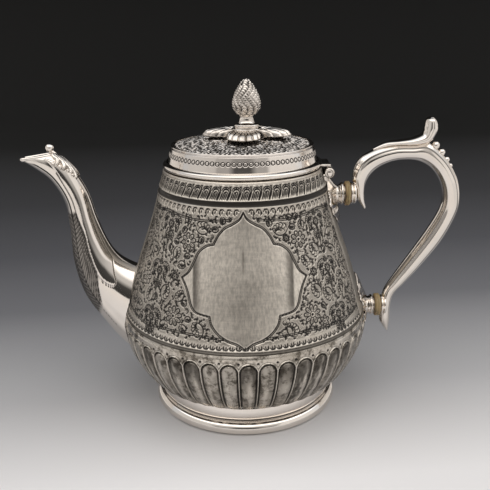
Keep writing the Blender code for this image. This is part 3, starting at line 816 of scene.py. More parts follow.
def cone_points_line(strokes, rim, outward, width):
    """Draws a closed line of (angle, height) points, moved outward by so many millimetres."""
    middle = 95.0
    moved = []
    for angle, height in rim:
        radius = float(cone_radius(height))
        x, y = math.radians(angle) * radius, height - middle
        size = max(math.hypot(x, y), 1.0)
        moved.append((math.degrees((x + outward * x / size) / radius), height + outward * y / size))
    dense = []
    for (a0, h0), (a1, h1) in zip(moved, moved[1:]):
        for t in np.linspace(0, 1, 10)[:-1]:
            dense.append((a0 + (a1 - a0) * t, h0 + (h1 - h0) * t))
    for angle, height in dense:
        points = strokes.place(angle, height, [(0.0, 0.0)])
        strokes.points += [points, points * np.array([1, -1, 1])]
        strokes.widths += [np.array([width])] * 2
    return dense


def engrave_borders(strokes):
    """The panel's edges: rows of hooked leaves, a festooned line inside each, and two plain ends."""
    for height, facing, pitch in ((PANEL_HIGH - 1.7, -1, 3.9), (PANEL_LOW + 1.6, 1, 3.5)):
        radius = float(cone_radius(height))
        count = int(math.radians(PANEL_RIGHT - PANEL_LEFT) * radius / pitch)
        for k in range(count):
            angle = PANEL_LEFT + (PANEL_RIGHT - PANEL_LEFT) * (k + 0.5) / count
            if facing < 0 and abs(angle) < 4:
                continue
            lean = 0.6 if angle > 0 else -0.6
            arch = 30 if facing < 0 else 200
            strokes.circle(angle, height, (0, 0), 1.35, 0.26, arch, arch + 150)
            strokes.line(angle, height, [(lean * 1.9, 0.7), (lean * 2.3, -0.6), (lean * 1.4, -1.7)], 0.30)
            strokes.line(angle, height, [(-lean * 0.4, 0.5), (0.0, -0.9)], 0.18)
        swing = []
        for angle in np.linspace(PANEL_LEFT, PANEL_RIGHT, 160):
            wave = 1.9 * abs(math.sin(math.radians(angle) * 3.4)) if abs(angle) > 8 else 0.0
            swing.append((angle, height + facing * (2.5 + wave)))
        for (a0, h0), (a1, h1) in zip(swing, swing[1:]):
            if abs(a0) < 7:
                continue
            right = math.radians(a1 - a0) * float(cone_radius(h0))
            strokes.line(a0, h0, [(0, 0), (right, (h1 - h0) / CONE_SLOPE)], 0.2)
            strokes.line(a0, h0 + facing * 0.9, [(0, 0), (right, (h1 - h0) / CONE_SLOPE)], 0.12)
    for angle in (PANEL_LEFT, PANEL_RIGHT, PANEL_LEFT - 1.6, PANEL_RIGHT + 1.6):
        strokes.line(angle, PANEL_LOW, [(0, 0), (0, (PANEL_HIGH - PANEL_LOW) / CONE_SLOPE)], 0.2)


def engrave_leaf_band(strokes):
    """The running leaves under the rim: nested hoods over ribbed blades, with dark hollows between them."""
    middle = (BAND_LOW + BAND_HIGH) / 2
    for k in range(LEAF_COUNT):
        angle = -180 + 360 * (k + 0.3) / LEAF_COUNT
        for size, width, lift in ((2.3, 0.20, 0.6), (1.55, 0.42, 0.3), (0.75, 0.26, -0.4)):
            strokes.circle(angle, middle, (0.4, lift), size, width, 5, 175, both=False)
        for x, width in ((-1.95, 0.22), (-1.05, 0.16), (-0.2, 0.16), (0.7, 0.16), (1.75, 0.28)):
            blade = [(x + 0.4, 0.2), (x - 0.1, -1.8), (x - 0.9, -3.8)]
            strokes.line(angle, middle, blade, width, both=False)
        strokes.circle(angle, middle, (2.75, 3.2), 0.35, 0.48, 180, 350, both=False)
        strokes.line(angle, middle, [(2.9, 2.4), (2.7, 0.4), (2.2, -1.4), (1.4, -3.9)], 0.36, both=False)


def engrave_cone():
    strokes = Strokes(cone_radius, cone_height)
    outline = cartouche_line()
    rim = np.vstack([outline, outline[:1]])
    border = cone_points_line(strokes, rim, 0.1, 0.2)
    cone_points_line(strokes, rim, 1.0, 0.1)
    blocked = [(a, h, 1.0) for a, h in border]
    for angle, height, radius, petals in BLOSSOMS:
        blossom(strokes, angle, height, radius, petals, eye=0.8)
        blocked.append((angle, height, radius + 0.3))
    for angle, height in PALMETTES:
        palmette(strokes, angle, height)
        shift = math.degrees(1 / float(cone_radius(height)))
        for right, up, radius in ((0, 0, 3.0), (0, -7, 1.6), (0, -10.5, 1.2), (0, 5.2, 1.8)):
            blocked.append((angle + right * shift, height + up, radius))
        for side in (-1, 1):
            for right, up, radius in ((4.2, 4.8, 2.4), (7.4, 3.0, 2.2), (5.0, -0.8, 2.2), (3.6, -6.0, 2.0)):
                blocked.append((angle + side * right * shift, height + up, radius))
    for angle, height in SMALL_EYES:
        blossom(strokes, angle, height, 2.4, 6, eye=0.75)
        blocked.append((angle, height, 2.6))
    for q in np.linspace(0, 1, 26):
        for a, h in zip(outline[:, 0] * q, CARTOUCHE_MIDDLE + (outline[:, 1] - CARTOUCHE_MIDDLE) * q):
            blocked.append((a, h, 2.0))
    for angle, height, radius in pack_circles(blocked, FILL_SIZES, FILL_TRIES):
        turn, hand, kind = RANDOM.uniform(0, math.tau), RANDOM.choice([-1, 1]), RANDOM.uniform(0, 1)
        if radius > FROND_SIZE and kind < 0.06:
            blossom(strokes, angle, height, radius * 0.95, 6, eye=0.7)
        elif radius > FROND_SIZE:
            filled_frond(strokes, angle, height, radius, turn, hand)
        elif radius > SPRIG_SIZE and kind < 0.4:
            sprig(strokes, angle, height, radius * 0.95, turn)
        else:
            curl(strokes, angle, height, radius, turn, hand)
    engrave_borders(strokes)
    return strokes, outline


# ---------------------------------------------------------------- body


def build_upper_body():
    cols, rows = 1400, 290
    heights = np.linspace(CONE_OUTLINE[0][1], CONE_OUTLINE[-1][1], rows)
    radii = cone_radius(heights)
    # The mouldings, and the sunk dark band under the leaves
    radii = moulded(radii, heights, BODY_RIDGES) - 0.55 * window(133.2, 133.6, 135.6, 136.0, heights)
    points = spun_points(np.stack([radii, heights], axis=-1), cols)
    strokes, outline = engrave_cone()
    engrave_leaf_band(strokes)
    away = strokes.measure(points)
    flesh = smooth_step(0.15, -0.15, strokes.measure(points, masses=True))
    height = points[..., 2]
    angle = np.degrees(np.arctan2(points[..., 0], np.abs(points[..., 1]) + 1e-9))
    plate = inside_outline(outline, angle, height)
    cut = 1 - smooth_step(0.06, 0.28, away)
    panel = (angle > PANEL_LEFT) & (angle < PANEL_RIGHT)
    panel &= (height > PANEL_LOW) & (height < PANEL_HIGH) & ~plate
    field = (height > PANEL_LOW + FESTOON) & (height < PANEL_HIGH - FESTOON) & panel
    band = (height > BAND_LOW) & (height < BAND_HIGH)
    rim_light = bump(away - 0.52, 0.22)
    cushion = 0.16 * smooth_step(0.0, 0.7, away) * panel + 0.3 * smooth_step(0.0, 0.8, away) * band
    cushion += 0.24 * flesh * panel
    hollow = window(132.9, 133.3, 135.9, 136.2, height)
    seam = 1 - smooth_step(60.3, 60.8, height)
    across = np.radians(angle) * np.hypot(points[..., 0], points[..., 1])
    # Punch marks that mat the ground between the leaves
    columns = np.sin(across * 5.4 + 1.2 * np.sin(height * 0.9))
    punched = columns * np.sin(height * 5.2 + 1.4 * np.sin(across * 0.8))
    matted = smooth_step(0.35, 0.75, punched) * field * (1 - flesh) * smooth_step(0.25, 0.5, away)
    # Painted shade: the colour darkens towards the body's left and right sides.
    side_shade = smooth_step(56.0, 84.0, np.abs(angle))
    ground_and_painted_light = field * (1 - flesh) * 0.26 + (panel | band) * 0.14 + 0.75 * side_shade
    # rim_light is a painted highlight: the colour is lighter just beside each cut.
    ground_and_painted_light = np.clip(ground_and_painted_light - 0.30 * rim_light, 0, 1)
    # Darker marks on the plate: a soft dark band near each side, and a short dark streak above its middle
    tall = window(76.0, 84.0, 106.0, 116.0, height)
    left = window(-28.8, -27.6, -27.4, -22.0, across)
    right = window(20.5, 26.2, 26.4, 27.8, across)
    streak = bump(across + 0.4, 0.8) * window(97.0, 103.0, 109.0, 116.0, height)
    plate_bands = plate * np.clip(0.85 * (left + right) * tall + 0.75 * streak, 0, 1)
    relief = cushion - 0.34 * cut - 0.2 * panel - 0.12 * matted
    outside = points + surface_normals(points) * relief[..., None]
    inner = [(r - WALL, h) for r, h in reversed(CONE_OUTLINE)]
    inside = spun_points(inner, cols)
    whole = np.concatenate([inside[-1:], outside, inside])
    after = len(inner)
    darkest = np.maximum(np.maximum(cut, 0.6 * matted), 0.75 * hollow)
    marks = {
        "cut": with_ends(np.clip(darkest, 0, 1), 1, after),
        "dull": with_ends(0.1 * panel + 0.25 * plate - 0.3 * hollow, 1, after, 0.4),
        "shade": with_ends(np.clip(hollow + 0.9 * seam + plate_bands + ground_and_painted_light, 0, 1), 1, after),
        "plate": with_ends(1.0 * plate, 1, after),
    }
    made = grid_object("engraved_body", whole, "pot", CHASED, marks=marks)
    stand_in(made, "upper_body")


def build_bowl():
    cols, rows = 1584, 170
    fine = smooth_rows(BOWL_OUTLINE, 20)
    path = travelled(fine)
    at = np.linspace(0, path[-1], rows)
    radii, heights = np.interp(at, path, fine[:, 0]), np.interp(at, path, fine[:, 1])
    radii = moulded(radii, heights, BOWL_RIDGES)
    points = spun_points(np.stack([radii, heights], axis=-1), cols)
    places = turns(cols) * FLUTES / math.tau + FLUTE_PHASE
    phase = places % 1.0 - 0.5
    which = np.floor(places).astype(int) % FLUTES
    pitch = math.tau * radii[:, None] / FLUTES
    across = phase[None, :] * pitch
    at = at[:, None]
    # How far each point lies outside its lobe's edge, which is straight below and a half circle above
    arch_at = path[-1] - ARCH_DROP
    top_half = LOBE_HALF * math.tau * BOWL_WIDEST / FLUTES
    climb = at - (arch_at - top_half)
    side = np.abs(across) - LOBE_HALF * pitch
    dome = np.hypot(across, np.maximum(climb, 0)) - top_half
    away = np.where(climb > 0, dome, side)
    ease = smooth_step(FLUTE_FOOT, FLUTE_FOOT + 2.5, at)
    inside = smooth_step(-0.1, -1.0, away)
    lobe = smooth_step(0.0, 1.0, 1 - (across / (LOBE_HALF * pitch)) ** 2)
    line = line_mark(away + 0.15, 0.30, 0.62)
    outer = line_mark(away - 1.15, 0.06, 0.26) * smooth_step(-1.0, 1.5, climb)
    ridge = bump(away - 0.48, 0.34)
    dot_x = (np.abs(phase)[None, :] - 0.5) * pitch
    dot = line_mark(np.hypot(dot_x, at - (arch_at + 0.6)), 0.5, 0.9)
    relief = 0.6 * lobe * inside - 0.75 * line * (away < 0.4) + 0.65 * ridge * (away < 2)
    relief = relief - 0.5 * dot - 0.15 * outer
    cut = np.clip(line * 0.97 + dot + 0.7 * outer, 0, 1)
    cut = cut * smooth_step(FLUTE_FOOT - 0.8, FLUTE_FOOT + 0.6, at)
    foot_line = line_mark(at - FLUTE_FOOT + 0.2, 0.2, 0.9)
    # Each flute's own tarnish, painted shade and painted highlight: its tone, its lean, the size of its
    # highlight, and how dark its foot is
    draws = RANDOM.uniform(0, 1, (FLUTES, 4))
    tone, slant, highlight_draw, low = (draws[which, i][None, :] for i in range(4))
    tall = (at - FLUTE_FOOT) / (arch_at - FLUTE_FOOT)
    edge_stain = smooth_step(-0.15, 0.5, np.abs(phase)[None, :] * 2 * (0.7 + 0.6 * slant) - 0.35)
    ripple = np.sin(across * (1.1 + slant) + 6 * tone)
    cloud = 0.5 + 0.5 * ripple * np.sin(at * (0.35 + 0.3 * highlight_draw) + 9 * low)
    # top_shade is painted shade towards each flute's top; low_stain darkens its foot.
    top_shade, low_stain = smooth_step(0.55, 0.95, tall), smooth_step(0.30, 0.02, tall)
    stain = 0.22 + 0.85 * tone * cloud + 0.75 * top_shade * slant
    stain = stain + 0.95 * low_stain * low + 0.3 * edge_stain
    # flute_highlight is a painted highlight: a bright, clean patch in each flute's middle, about a third of
    # the way up.
    flute_highlight = bump(across - (slant - 0.5) * 3.0, 1.1) * bump(tall - 0.35 - 0.2 * low, 0.18 + 0.2 * highlight_draw)
    flute_highlight = flute_highlight * (highlight_draw > 0.2)
    stain = inside * np.clip(stain * 0.95 - flute_highlight, 0, 0.92) * ease
    stain = np.maximum(stain, 0.85 * foot_line)
    stain = np.maximum(stain, 0.9 * smooth_step(58.3, 58.7, heights)[:, None])
    outside = points + surface_normals(points) * (relief * ease)[..., None]
    # The lap behind the body's lower edge, the inside and the floor
    lap = [(70.9, 59.0), (70.0, 61.9), (68.9, 61.9)]
    inner = [(r - WALL, h + 0.2) for r, h in reversed(BOWL_OUTLINE[1:])]
    floor = [(48.0, 17.0), (0.01, 17.0)]
    closing = spun_points(lap + inner + floor, cols)
    start = spun_points([(0.01, BOWL_OUTLINE[0][1])], cols)
    whole = np.concatenate([start, outside, closing])
    after = len(closing)
    # clean_and_highlight: the ridges kept clean, and the painted highlights.
    clean_and_highlight = np.clip(1.3 * ridge * (climb < 3.0) + flute_highlight * inside, 0, 1) * ease
    marks = {
        "cut": with_ends(cut, 1, after),
        "dull": with_ends(0.1 * inside - 0.25 * flute_highlight * inside - 0.2 * ridge, 1, after, 0.4),
        "shade": with_ends(stain * (1 - 0.5 * clean_and_highlight), 1, after),
        "plate": with_ends(clean_and_highlight, 1, after),
    }
    made = grid_object("fluted_bowl", whole, "pot", FLUTED, marks=marks)
    stand_in(made, "lower_bowl")


def build_foot():
    bead = (52.2, 4.0)
    outline = [
        (46.2, 15.7),
        (48.4, 10.5),
        (49.4, 6.0),
        (50.6, 0.05),
        (53.4, 0.05),
        *arc(bead, 4.0, -60, 84, 14),
        (51.9, 8.25),
        (51.5, 8.5),
        (52.1, 8.9),
        (52.6, 9.8),
        (52.95, 11.2),
        (52.95, 13.0),
        (52.7, 14.8),
        (52.3, 16.3),
        (51.7, 17.2),
        (50.9, 17.0),
        (49.0, 15.7),
    ]
    fine = smooth_rows(outline, 3)
    points = spun_points(np.vstack([fine, fine[:1]]), 288)
    radius = np.hypot(points[..., 0], points[..., 1])
    # A dark line painted along the groove above the bead.
    groove_line = bump(points[..., 2] - 8.45, 0.38) * (radius > 50.0)
    dent = 0.04 * np.sin(points[..., 0] * 0.31 + 1.0) * np.sin(points[..., 1] * 0.27)
    height = points[..., 2]
    dented = np.where((height > 1) & (height < 12), height + dent, height)
    points[..., 2] = np.maximum(dented, 0.02)
    made = grid_object("polished_foot", points, "pot", POLISHED, marks={"cut": groove_line * 0.85}, flip=True)
    stand_in(made, "foot_ring")


def build_mouth():
    outline = [(41.9, 142.2), (45.0, 142.2), (44.1, 145.3), (41.9, 145.3)]
    made = spun("mouth_collar", outline, "pot", POLISHED, cols=192)
    stand_in(made, "mouth_ring")


# ---------------------------------------------------------------- spout


def vessel_solid():
    """The vessel's outside, a hair larger, which cuts the spout off where it meets the body."""
    margin = 0.05
    rows = [(r + margin, h) for r, h in VESSEL_OUTLINE]
    fine = smooth_rows(rows, 6)
    outline = [(0.5, fine[0][1]), *[tuple(p) for p in fine], (0.5, fine[-1][1])]
    return grid_object("vessel_solid", spun_points(outline, 180), None, POLISHED, caps=True)


def spout_section(a):
    """The spout's section: a soft keel on each side, nearer the underside."""
    keel = bump(from_edge(a) - KEEL, 0.14)
    return 1.0 + 0.04 * keel


def build_spout():
    cols = 160
    rows = smooth_rows(SPOUT_STATIONS, 34)
    points = tube_points(rows, cols, spout_section)
    # Each point's turn from the outer edge, its station t, and its distance off the keel
    turn = from_edge(turns(cols))[None, :]
    t = np.linspace(0, len(SPOUT_STATIONS) - 1, len(rows))[:, None]
    size = np.linalg.norm(rows[:, 0:2] - rows[:, 2:4], axis=1)[:, None] / 2
    along = travelled(points.mean(axis=1))[:, None]
    off = (turn - KEEL) * size
    crease = line_mark(off, 0.35, 0.75) * window(5.2, 5.5, 8.0, 8.6, t)
    # The fern along the keel: scalloped leaflets on both sides of a vein, on dark ground
    fern = window(2.15, 2.4, 5.45, 5.6, t)
    low_reach = KEEL * size * 0.86
    taper = (0.45 + 0.55 * smooth_step(5.6, 4.4, t)) * smooth_step(2.0, 3.2, t)
    high_reach = np.radians(38) * size * taper + 0.4
    reach = np.where(off < 0, low_reach, high_reach)
    share = np.abs(off) / np.maximum(reach, 0.1)
    edge = 1 - smooth_step(0.96, 1.04, share)
    wave = (along - np.abs(off) * 0.8) / FERN_PITCH
    tooth = zigzag(wave)
    leaflet = smooth_step(0.62, 0.86, tooth)
    hatch = smooth_step(0.55, 0.85, zigzag(wave * 3.0)) * smooth_step(0.25, 0.45, share) * 0.8
    border = line_mark((share - 0.93 + 0.12 * tooth) * reach, 0.12, 0.4)
    vein = line_mark(off, 0.25, 0.5)
    cut = np.maximum(crease, fern * np.clip(edge * np.maximum(leaflet, hatch) + vein + border, 0, 1))
    tail = (t > 1.45) * (t < 2.2) * line_mark(off + 2.0, 0.3, 0.6)
    cut = np.maximum(cut, tail * (np.cos(along * math.tau / TAIL_PITCH) > 0) * 0.8)
    # The raised lozenge on the side of the neck, with a rounded lower end
    low_edge = np.radians(99 + 6 * smooth_step(2.9, 2.0, t) - 14 * smooth_step(4.6, 5.6, t))
    high_edge = np.radians(150 - 24 * smooth_step(2.9, 1.95, t))
    middle, half = (low_edge + high_edge) / 2, (high_edge - low_edge) / 2 * size
    rounding = np.sqrt(np.clip(1 - (np.clip(2.45 - t, 0, 1) / 0.55) ** 2, 0, 1))
    inside = half * rounding * smooth_step(8.2, 6.4, t) - np.abs(turn - middle) * size
    inside = np.where((t > 1.9) & (t < 8.0), inside, -3.0)
    raised = smooth_step(-0.6, 0.4, inside)
    line = line_mark(inside + 0.45, 0.05, 0.45) * (t < 7.2) * (1 - fern * edge)
    cut = np.maximum(cut, 0.95 * line)
    relief = 0.6 * raised - 0.35 * cut
    points = points - surface_normals(points) * relief[..., None]
    marks = {"cut": cut, "shade": 0.8 * fern * edge + 0.8 * crease}
    made = grid_object("swan_spout", points, "pot", POLISHED, marks=marks, caps=True, flip=True)
    bore = grid_object("spout_bore", tube_points(rows, 48, grow=-WALL), None, POLISHED, caps=True)
    # The lip is cut open along a slanting line, and the tube is hollowed and fitted to the vessel's side
    lip = np.array([LIP_BACK, LIP_TIP, (-138.0, 150.3), (-138.0, 182.0), (-110.8, 182.0)])
    slab = np.stack([np.column_stack([lip[:, 0], np.full(len(lip), y), lip[:, 1]]) for y in (-20.0, 20.0)])
    lip_cut = grid_object("lip_cut", slab, None, POLISHED, caps=True)
    vessel = vessel_solid()
    for solid in (made, bore, lip_cut, vessel):
        face_out(solid)
    cut_away(made, [bore, lip_cut, vessel])
    stand_in(made, "spout")
    build_lip_roll(rows)
    build_crest(rows)


def build_lip_roll(rows):
    """The rolled edge round the open lip, from the back on one side to the tip and round again."""
    side = []
    for row in rows[int(len(rows) * 0.80) :]:
        centre, reach = (row[0:2] + row[2:4]) / 2, (row[0:2] - row[2:4]) / 2
        for a in np.linspace(0.02, math.pi - 0.02, 90):
            x, z = centre + reach * math.cos(a)
            fall = (x - LIP_BACK[0]) * (LIP_TIP[1] - LIP_BACK[1])
            plane = LIP_BACK[1] + fall / (LIP_TIP[0] - LIP_BACK[0])
            if z > plane - 0.1 and LIP_TIP[0] + 0.4 < x < LIP_BACK[0] + 0.4:
                side.append((x, max(row[4] * math.sin(a) - 0.45, 0.1), plane - 0.15))
                break
    side = np.array(sorted(side))
    tip = np.array([[LIP_TIP[0] + 1.3, 0.0, LIP_TIP[1] - 0.3]])
    loop = np.vstack([side[::-1] * [1, -1, 1], tip, side])
    loop = evenly(loop, 90)
    kernel = np.ones(7) / 7
    eased = loop.copy()
    for i in range(3):
        eased[3:-3, i] = np.convolve(loop[:, i], kernel, "valid")
    radius = 0.95 + 0.35 * bump(np.linspace(-1, 1, 90), 0.35)
    roll = swept("lip_roll", eased, radius, "pot", POLISHED)
    stand_in(roll, "spout")


def build_crest(rows):
    """The cast shell over the spout's bend: ribs that sweep back over it and curl up at their ends."""
    curls = [(-107.4, 148.6), (-103.4, 146.0), (-99.8, 143.6), (-97.4, 140.8)]
    surface = tube_points(rows, 180)[: int(len(rows) * 0.97)]
    side_points = surface[:, 45:91]  # one side only, from its widest line to the inner edge

    def seat(x, z):
        """The row and column of the surface's point nearest to a place in the side view."""
        gap = (side_points[..., 0] - x) ** 2 + (side_points[..., 2] - z) ** 2
        return np.unravel_index(np.argmin(gap), gap.shape)

    made = []
    top_row = seat(-110.2, 154.2)[0]
    for k, (x, z) in enumerate(curls):
        row, col = seat(x, z)
        col = min(col, 33)
        crown = 40 - 3.2 * (3 - k)
        turn_row = row + (top_row - row) * 0.30
        stops = [(top_row, 42 - (3 - k)), ((top_row + turn_row) / 2, crown), (turn_row, crown - 2)]
        stops += [(row + (turn_row - row) * 0.35, (crown + col) / 2 + 1)]
        stops += [(row, col + 1.5), (row + 4, col - 1.0)]
        route = np.round(smooth_rows(stops, 10)).astype(int)
        place = side_points[np.clip(route[:, 0], 0, len(side_points) - 1), np.clip(route[:, 1], 0, 45)]
        kernel = np.array([1, 2, 3, 2, 1]) / 9
        for i in range(3):
            place[2:-2, i] = np.convolve(place[:, i], kernel, "valid")
        share = np.linspace(0, 1, len(place))
        radius = 0.85 + 0.60 * np.sin(math.pi * share) ** 0.8
        radius = np.where(share > 0.86, 1.0, radius)
        for side, where in ((-1, "front"), (1, "back")):
            path = place * np.array([1, side * np.sign(place[0, 1] + 1e-9), 1])
            path[:, 1] += side * 0.25 * share
            path[:, 2] += 0.35 * (1 - share)
            tip = path[-1] + [0, side * 0.3, 0]
            made.append(swept(f"crest_rib_{where}_{k + 1}", path, radius, "pot", CAST))
            made.append(ball(f"crest_curl_{where}_{k + 1}", tip, 1.25, "pot", CAST, 20, 12))
    spine = [(-110.6, 0, 155.6), (-106.2, 0, 152.2), (-102.4, 0, 148.9), (-99.4, 0, 145.4), (-97.6, 0, 142.6)]
    spine = smooth_rows(spine, 10)
    share = np.linspace(0, 1, len(spine))
    made.append(swept("crest_spine", spine, 1.35 * np.sin(math.pi * (0.2 + 0.7 * share)) ** 0.6, "pot", CAST))
    knob = ball("crest_knob", (-111.3, 0, 157.6), 2.5, "pot", POLISHED)
    neck = smooth_rows([(-111.8, 0, 155.0), (-110.6, 0, 155.4), (-108.6, 0, 153.9)], 8)
    made += [knob, swept("crest_neck", neck, 1.45, "pot", CAST)]
    for piece in made:
        stand_in(piece, "spout_crest")


# ---------------------------------------------------------------- handle and its fittings


def handle_section(a):
    """The grip's section: two creases on each side, with a shallow flute between them."""
    turn = from_edge(a)
    flute = 0.05 * bump(turn - math.radians(92), 0.40)
    creases = sum(0.045 * bump(turn - crease, 0.08) for crease in GRIP_CREASES)
    return 1.0 + flute + creases


def build_handle():
    rows = smooth_rows(HANDLE_STATIONS, 14)
    points = tube_points(rows, 128, handle_section)
    turn = from_edge(turns(points.shape[1]))[None, :]
    t = np.linspace(0, 1, len(rows))[:, None]
    crease = bump(turn - GRIP_CREASES[0], 0.06) * 0.9 + bump(turn - GRIP_CREASES[1], 0.06) * 0.7
    cut = crease * window(0.1, 0.2, 0.85, 0.95, t)
    grip = grid_object("scroll_grip", points, "pot", POLISHED, marks={"cut": cut}, caps=True, flip=True)
    face_out(grip)
    stand_in(grip, "handle")
    for i, (x, z, radius) in enumerate(BEADS):
        stand_in(ball(f"grip_bead_{i + 1}", (x, 0, z), radius, "pot", POLISHED), "handle")


def build_thumb_rest():
    leaf_rows = smooth_rows(LEAF_STATIONS, 16)
    count = 96
    groove = math.radians(96)
    leaf_points = tube_points(leaf_rows, count, lambda a: 1.0 - 0.05 * bump(from_edge(a) - groove, 0.22))
    turn = from_edge(turns(count))[None, :]
    t = np.linspace(0, 1, len(leaf_rows))[:, None]
    marks = {"cut": 0.55 * bump(turn - groove, 0.05) * window(0.08, 0.25, 0.75, 0.9, t)}
    leaf = grid_object("thumb_rest_leaf", leaf_points, "pot", POLISHED, marks=marks, caps=True, flip=True)
    face_out(leaf)
    stand_in(leaf, "thumb_leaf")


def insulator_outline(start, end, radius):
    return [
        (0.01, start - 5.4),
        (3.3, start - 5.4),
        (3.3, start),
        (radius - 1.3, start),
        *arc((radius - 1.15, start + 1.15), 1.15, 270, 360, 6),
        (radius - 0.35, (start + end) / 2),
        *arc((radius - 1.15, end - 1.15), 1.15, 0, 90, 6),
        (radius - 1.3, end),
        (3.3, end),
        (3.3, end + 3.7),
        (0.01, end + 3.7),
    ]


def collar_outline(start, end, radius):
    return [
        (3.7, start),
        (radius - 0.4, start),
        *arc((radius - 0.7, start + 0.7), 0.7, 290, 430, 6),
        (radius - 0.9, start + 1.7),
        *arc((radius - 0.9, end - 0.9), 0.8, -60, 80, 6),
        (radius - 1.6, end),
        (3.7, end),
    ]


def draped_leaf(name, root, tip, width, stand):
    """A ribbed leaf on the handle's side of the vessel, from one height to another."""
    n, cols = 40, 33
    t = np.linspace(0, 1, n)[:, None]
    s = np.linspace(-1, 1, cols)[None, :]
    height = root + (tip - root) * t + 0 * s
    half = width * np.sin(math.pi * (0.22 + 0.78 * t)) ** 0.8 + 0.15
    lobes = 1 + 0.10 * np.cos(t * math.pi * 7)
    across = s * half * lobes
    ridge = (1 - np.abs(s)) ** 0.8 * stand * (1 - t) ** 0.5
    ribs = 0.22 * np.cos(s * math.pi * 2.5 + t * 5.0) * (1 - t)
    radius = vessel_radius(height) + 0.35 + ridge + ribs * (np.abs(s) < 0.95)
    angle = across / radius
    points = np.stack([radius * np.cos(angle), radius * np.sin(angle), height], axis=-1)
    marks = {"cut": 0.5 * np.clip(-np.cos(s * math.pi * 2.5 + t * 5.0), 0, 1) ** 4 * (1 - t)}
    leaf = grid_object(name, points, "pot", CAST, wrap=False, marks=marks)
    thicken(leaf, 0.6)
    return leaf


def bracket(name, node, axis_z, end, radius, leaves):
    """A handle bracket: a turned collar, a flared root and pointed leaves that lie on the vessel's side."""
    root = end - 11.5
    outline = [
        (0.01, root),
        (radius + 3.4, root),
        (radius + 2.2, root + 2.8),
        (radius - 0.7, root + 5.6),
        (radius - 1.6, end - 4.2),
        (radius - 1.0, end - 3.2),
        *arc((radius - 0.9, end - 1.6), 0.9, -80, 80, 6),
        (radius - 1.3, end - 0.3),
        (radius - 1.6, end),
        (0.01, end),
    ]
    points = spun_points(smooth_rows(outline, 3), 72, "X", (0, 0, axis_z))
    a = math.tau * np.arange(72) / 72
    near = smooth_step(end - 5.0, root + 1.0, points[..., 0])
    facets = 1 + 0.10 * near * np.cos(4 * a)[None, :]
    points[..., 1] *= facets
    points[..., 2] = axis_z + (points[..., 2] - axis_z) * facets
    body = grid_object(f"{name}_collar", points, "pot", CAST, sharp=50)
    face_out(body)
    stand_in(body, node)
    for i, (low, high, width, stand) in enumerate(leaves):
        stand_in(draped_leaf(f"{name}_leaf_{i + 1}", low, high, width, stand), node)


def build_fittings():
    bracket("upper_bracket", "upper_socket", UPPER_Z, 59.8, 6.6, UPPER_LEAVES)
    bracket("lower_bracket", "lower_socket", LOWER_Z, 79.8, 6.3, LOWER_LEAVES)
    turned = [
        ("upper_disc", "upper_insulator", UPPER_Z, insulator_outline(60.0, 63.0, 7.3)),
        ("lower_disc", "lower_insulator", LOWER_Z, insulator_outline(80.1, 83.7, 7.0)),
        ("upper_collar", "upper_ferrule", UPPER_Z, collar_outline(63.3, 66.7, 6.3)),
        ("lower_collar", "lower_ferrule", LOWER_Z, collar_outline(84.0, 87.4, 6.1)),
    ]
    for name, node, z, outline in turned:
        skin, slot = (BONE, "insulator_bone") if "insulator" in node else (POLISHED, "polished_silver")
        made = spun(name, outline, "pot", skin, cols=72, along="X", centre=(0, 0, z))
        face_out(made)
        stand_in(made, node)


# ---------------------------------------------------------------- lid


def lid_strokes():
    """Scrolls in rings on the lid's flat top, each a spiral with five short leaves behind it."""
    strokes = Strokes(lambda r: r, lambda r, up: r + up)
    spiral_steps, leaf_steps, width = 60, 8, 0.26
    for ring, count, size in ((35.2, 40, 2.5), (29.4, 32, 2.6), (23.4, 22, 2.6), (17.6, 14, 2.6)):
        for k in range(count):
            turn, hand = math.tau * k / count + ring, 1 if k % 2 else -1
            centre = np.array([ring * math.sin(turn), -ring * math.cos(turn)])
            t = np.linspace(0, 1, spiral_steps)
            curves = [(turn + hand * t * 8.0, size * (1 - 0.85 * t))]
            for j in range(5):
                q = np.linspace(1.02, 1.42, leaf_steps)
                curves.append((turn + hand * (0.4 + j * 1.15) + hand * (q - 1) * 1.3, size * q))
            for a, r in curves:
                line = [centre[0] + r * np.cos(a), centre[1] + r * np.sin(a), 0 * r]
                strokes.points.append(np.stack(line, axis=-1))
                strokes.widths.append(np.full(len(r), width))
    return strokes


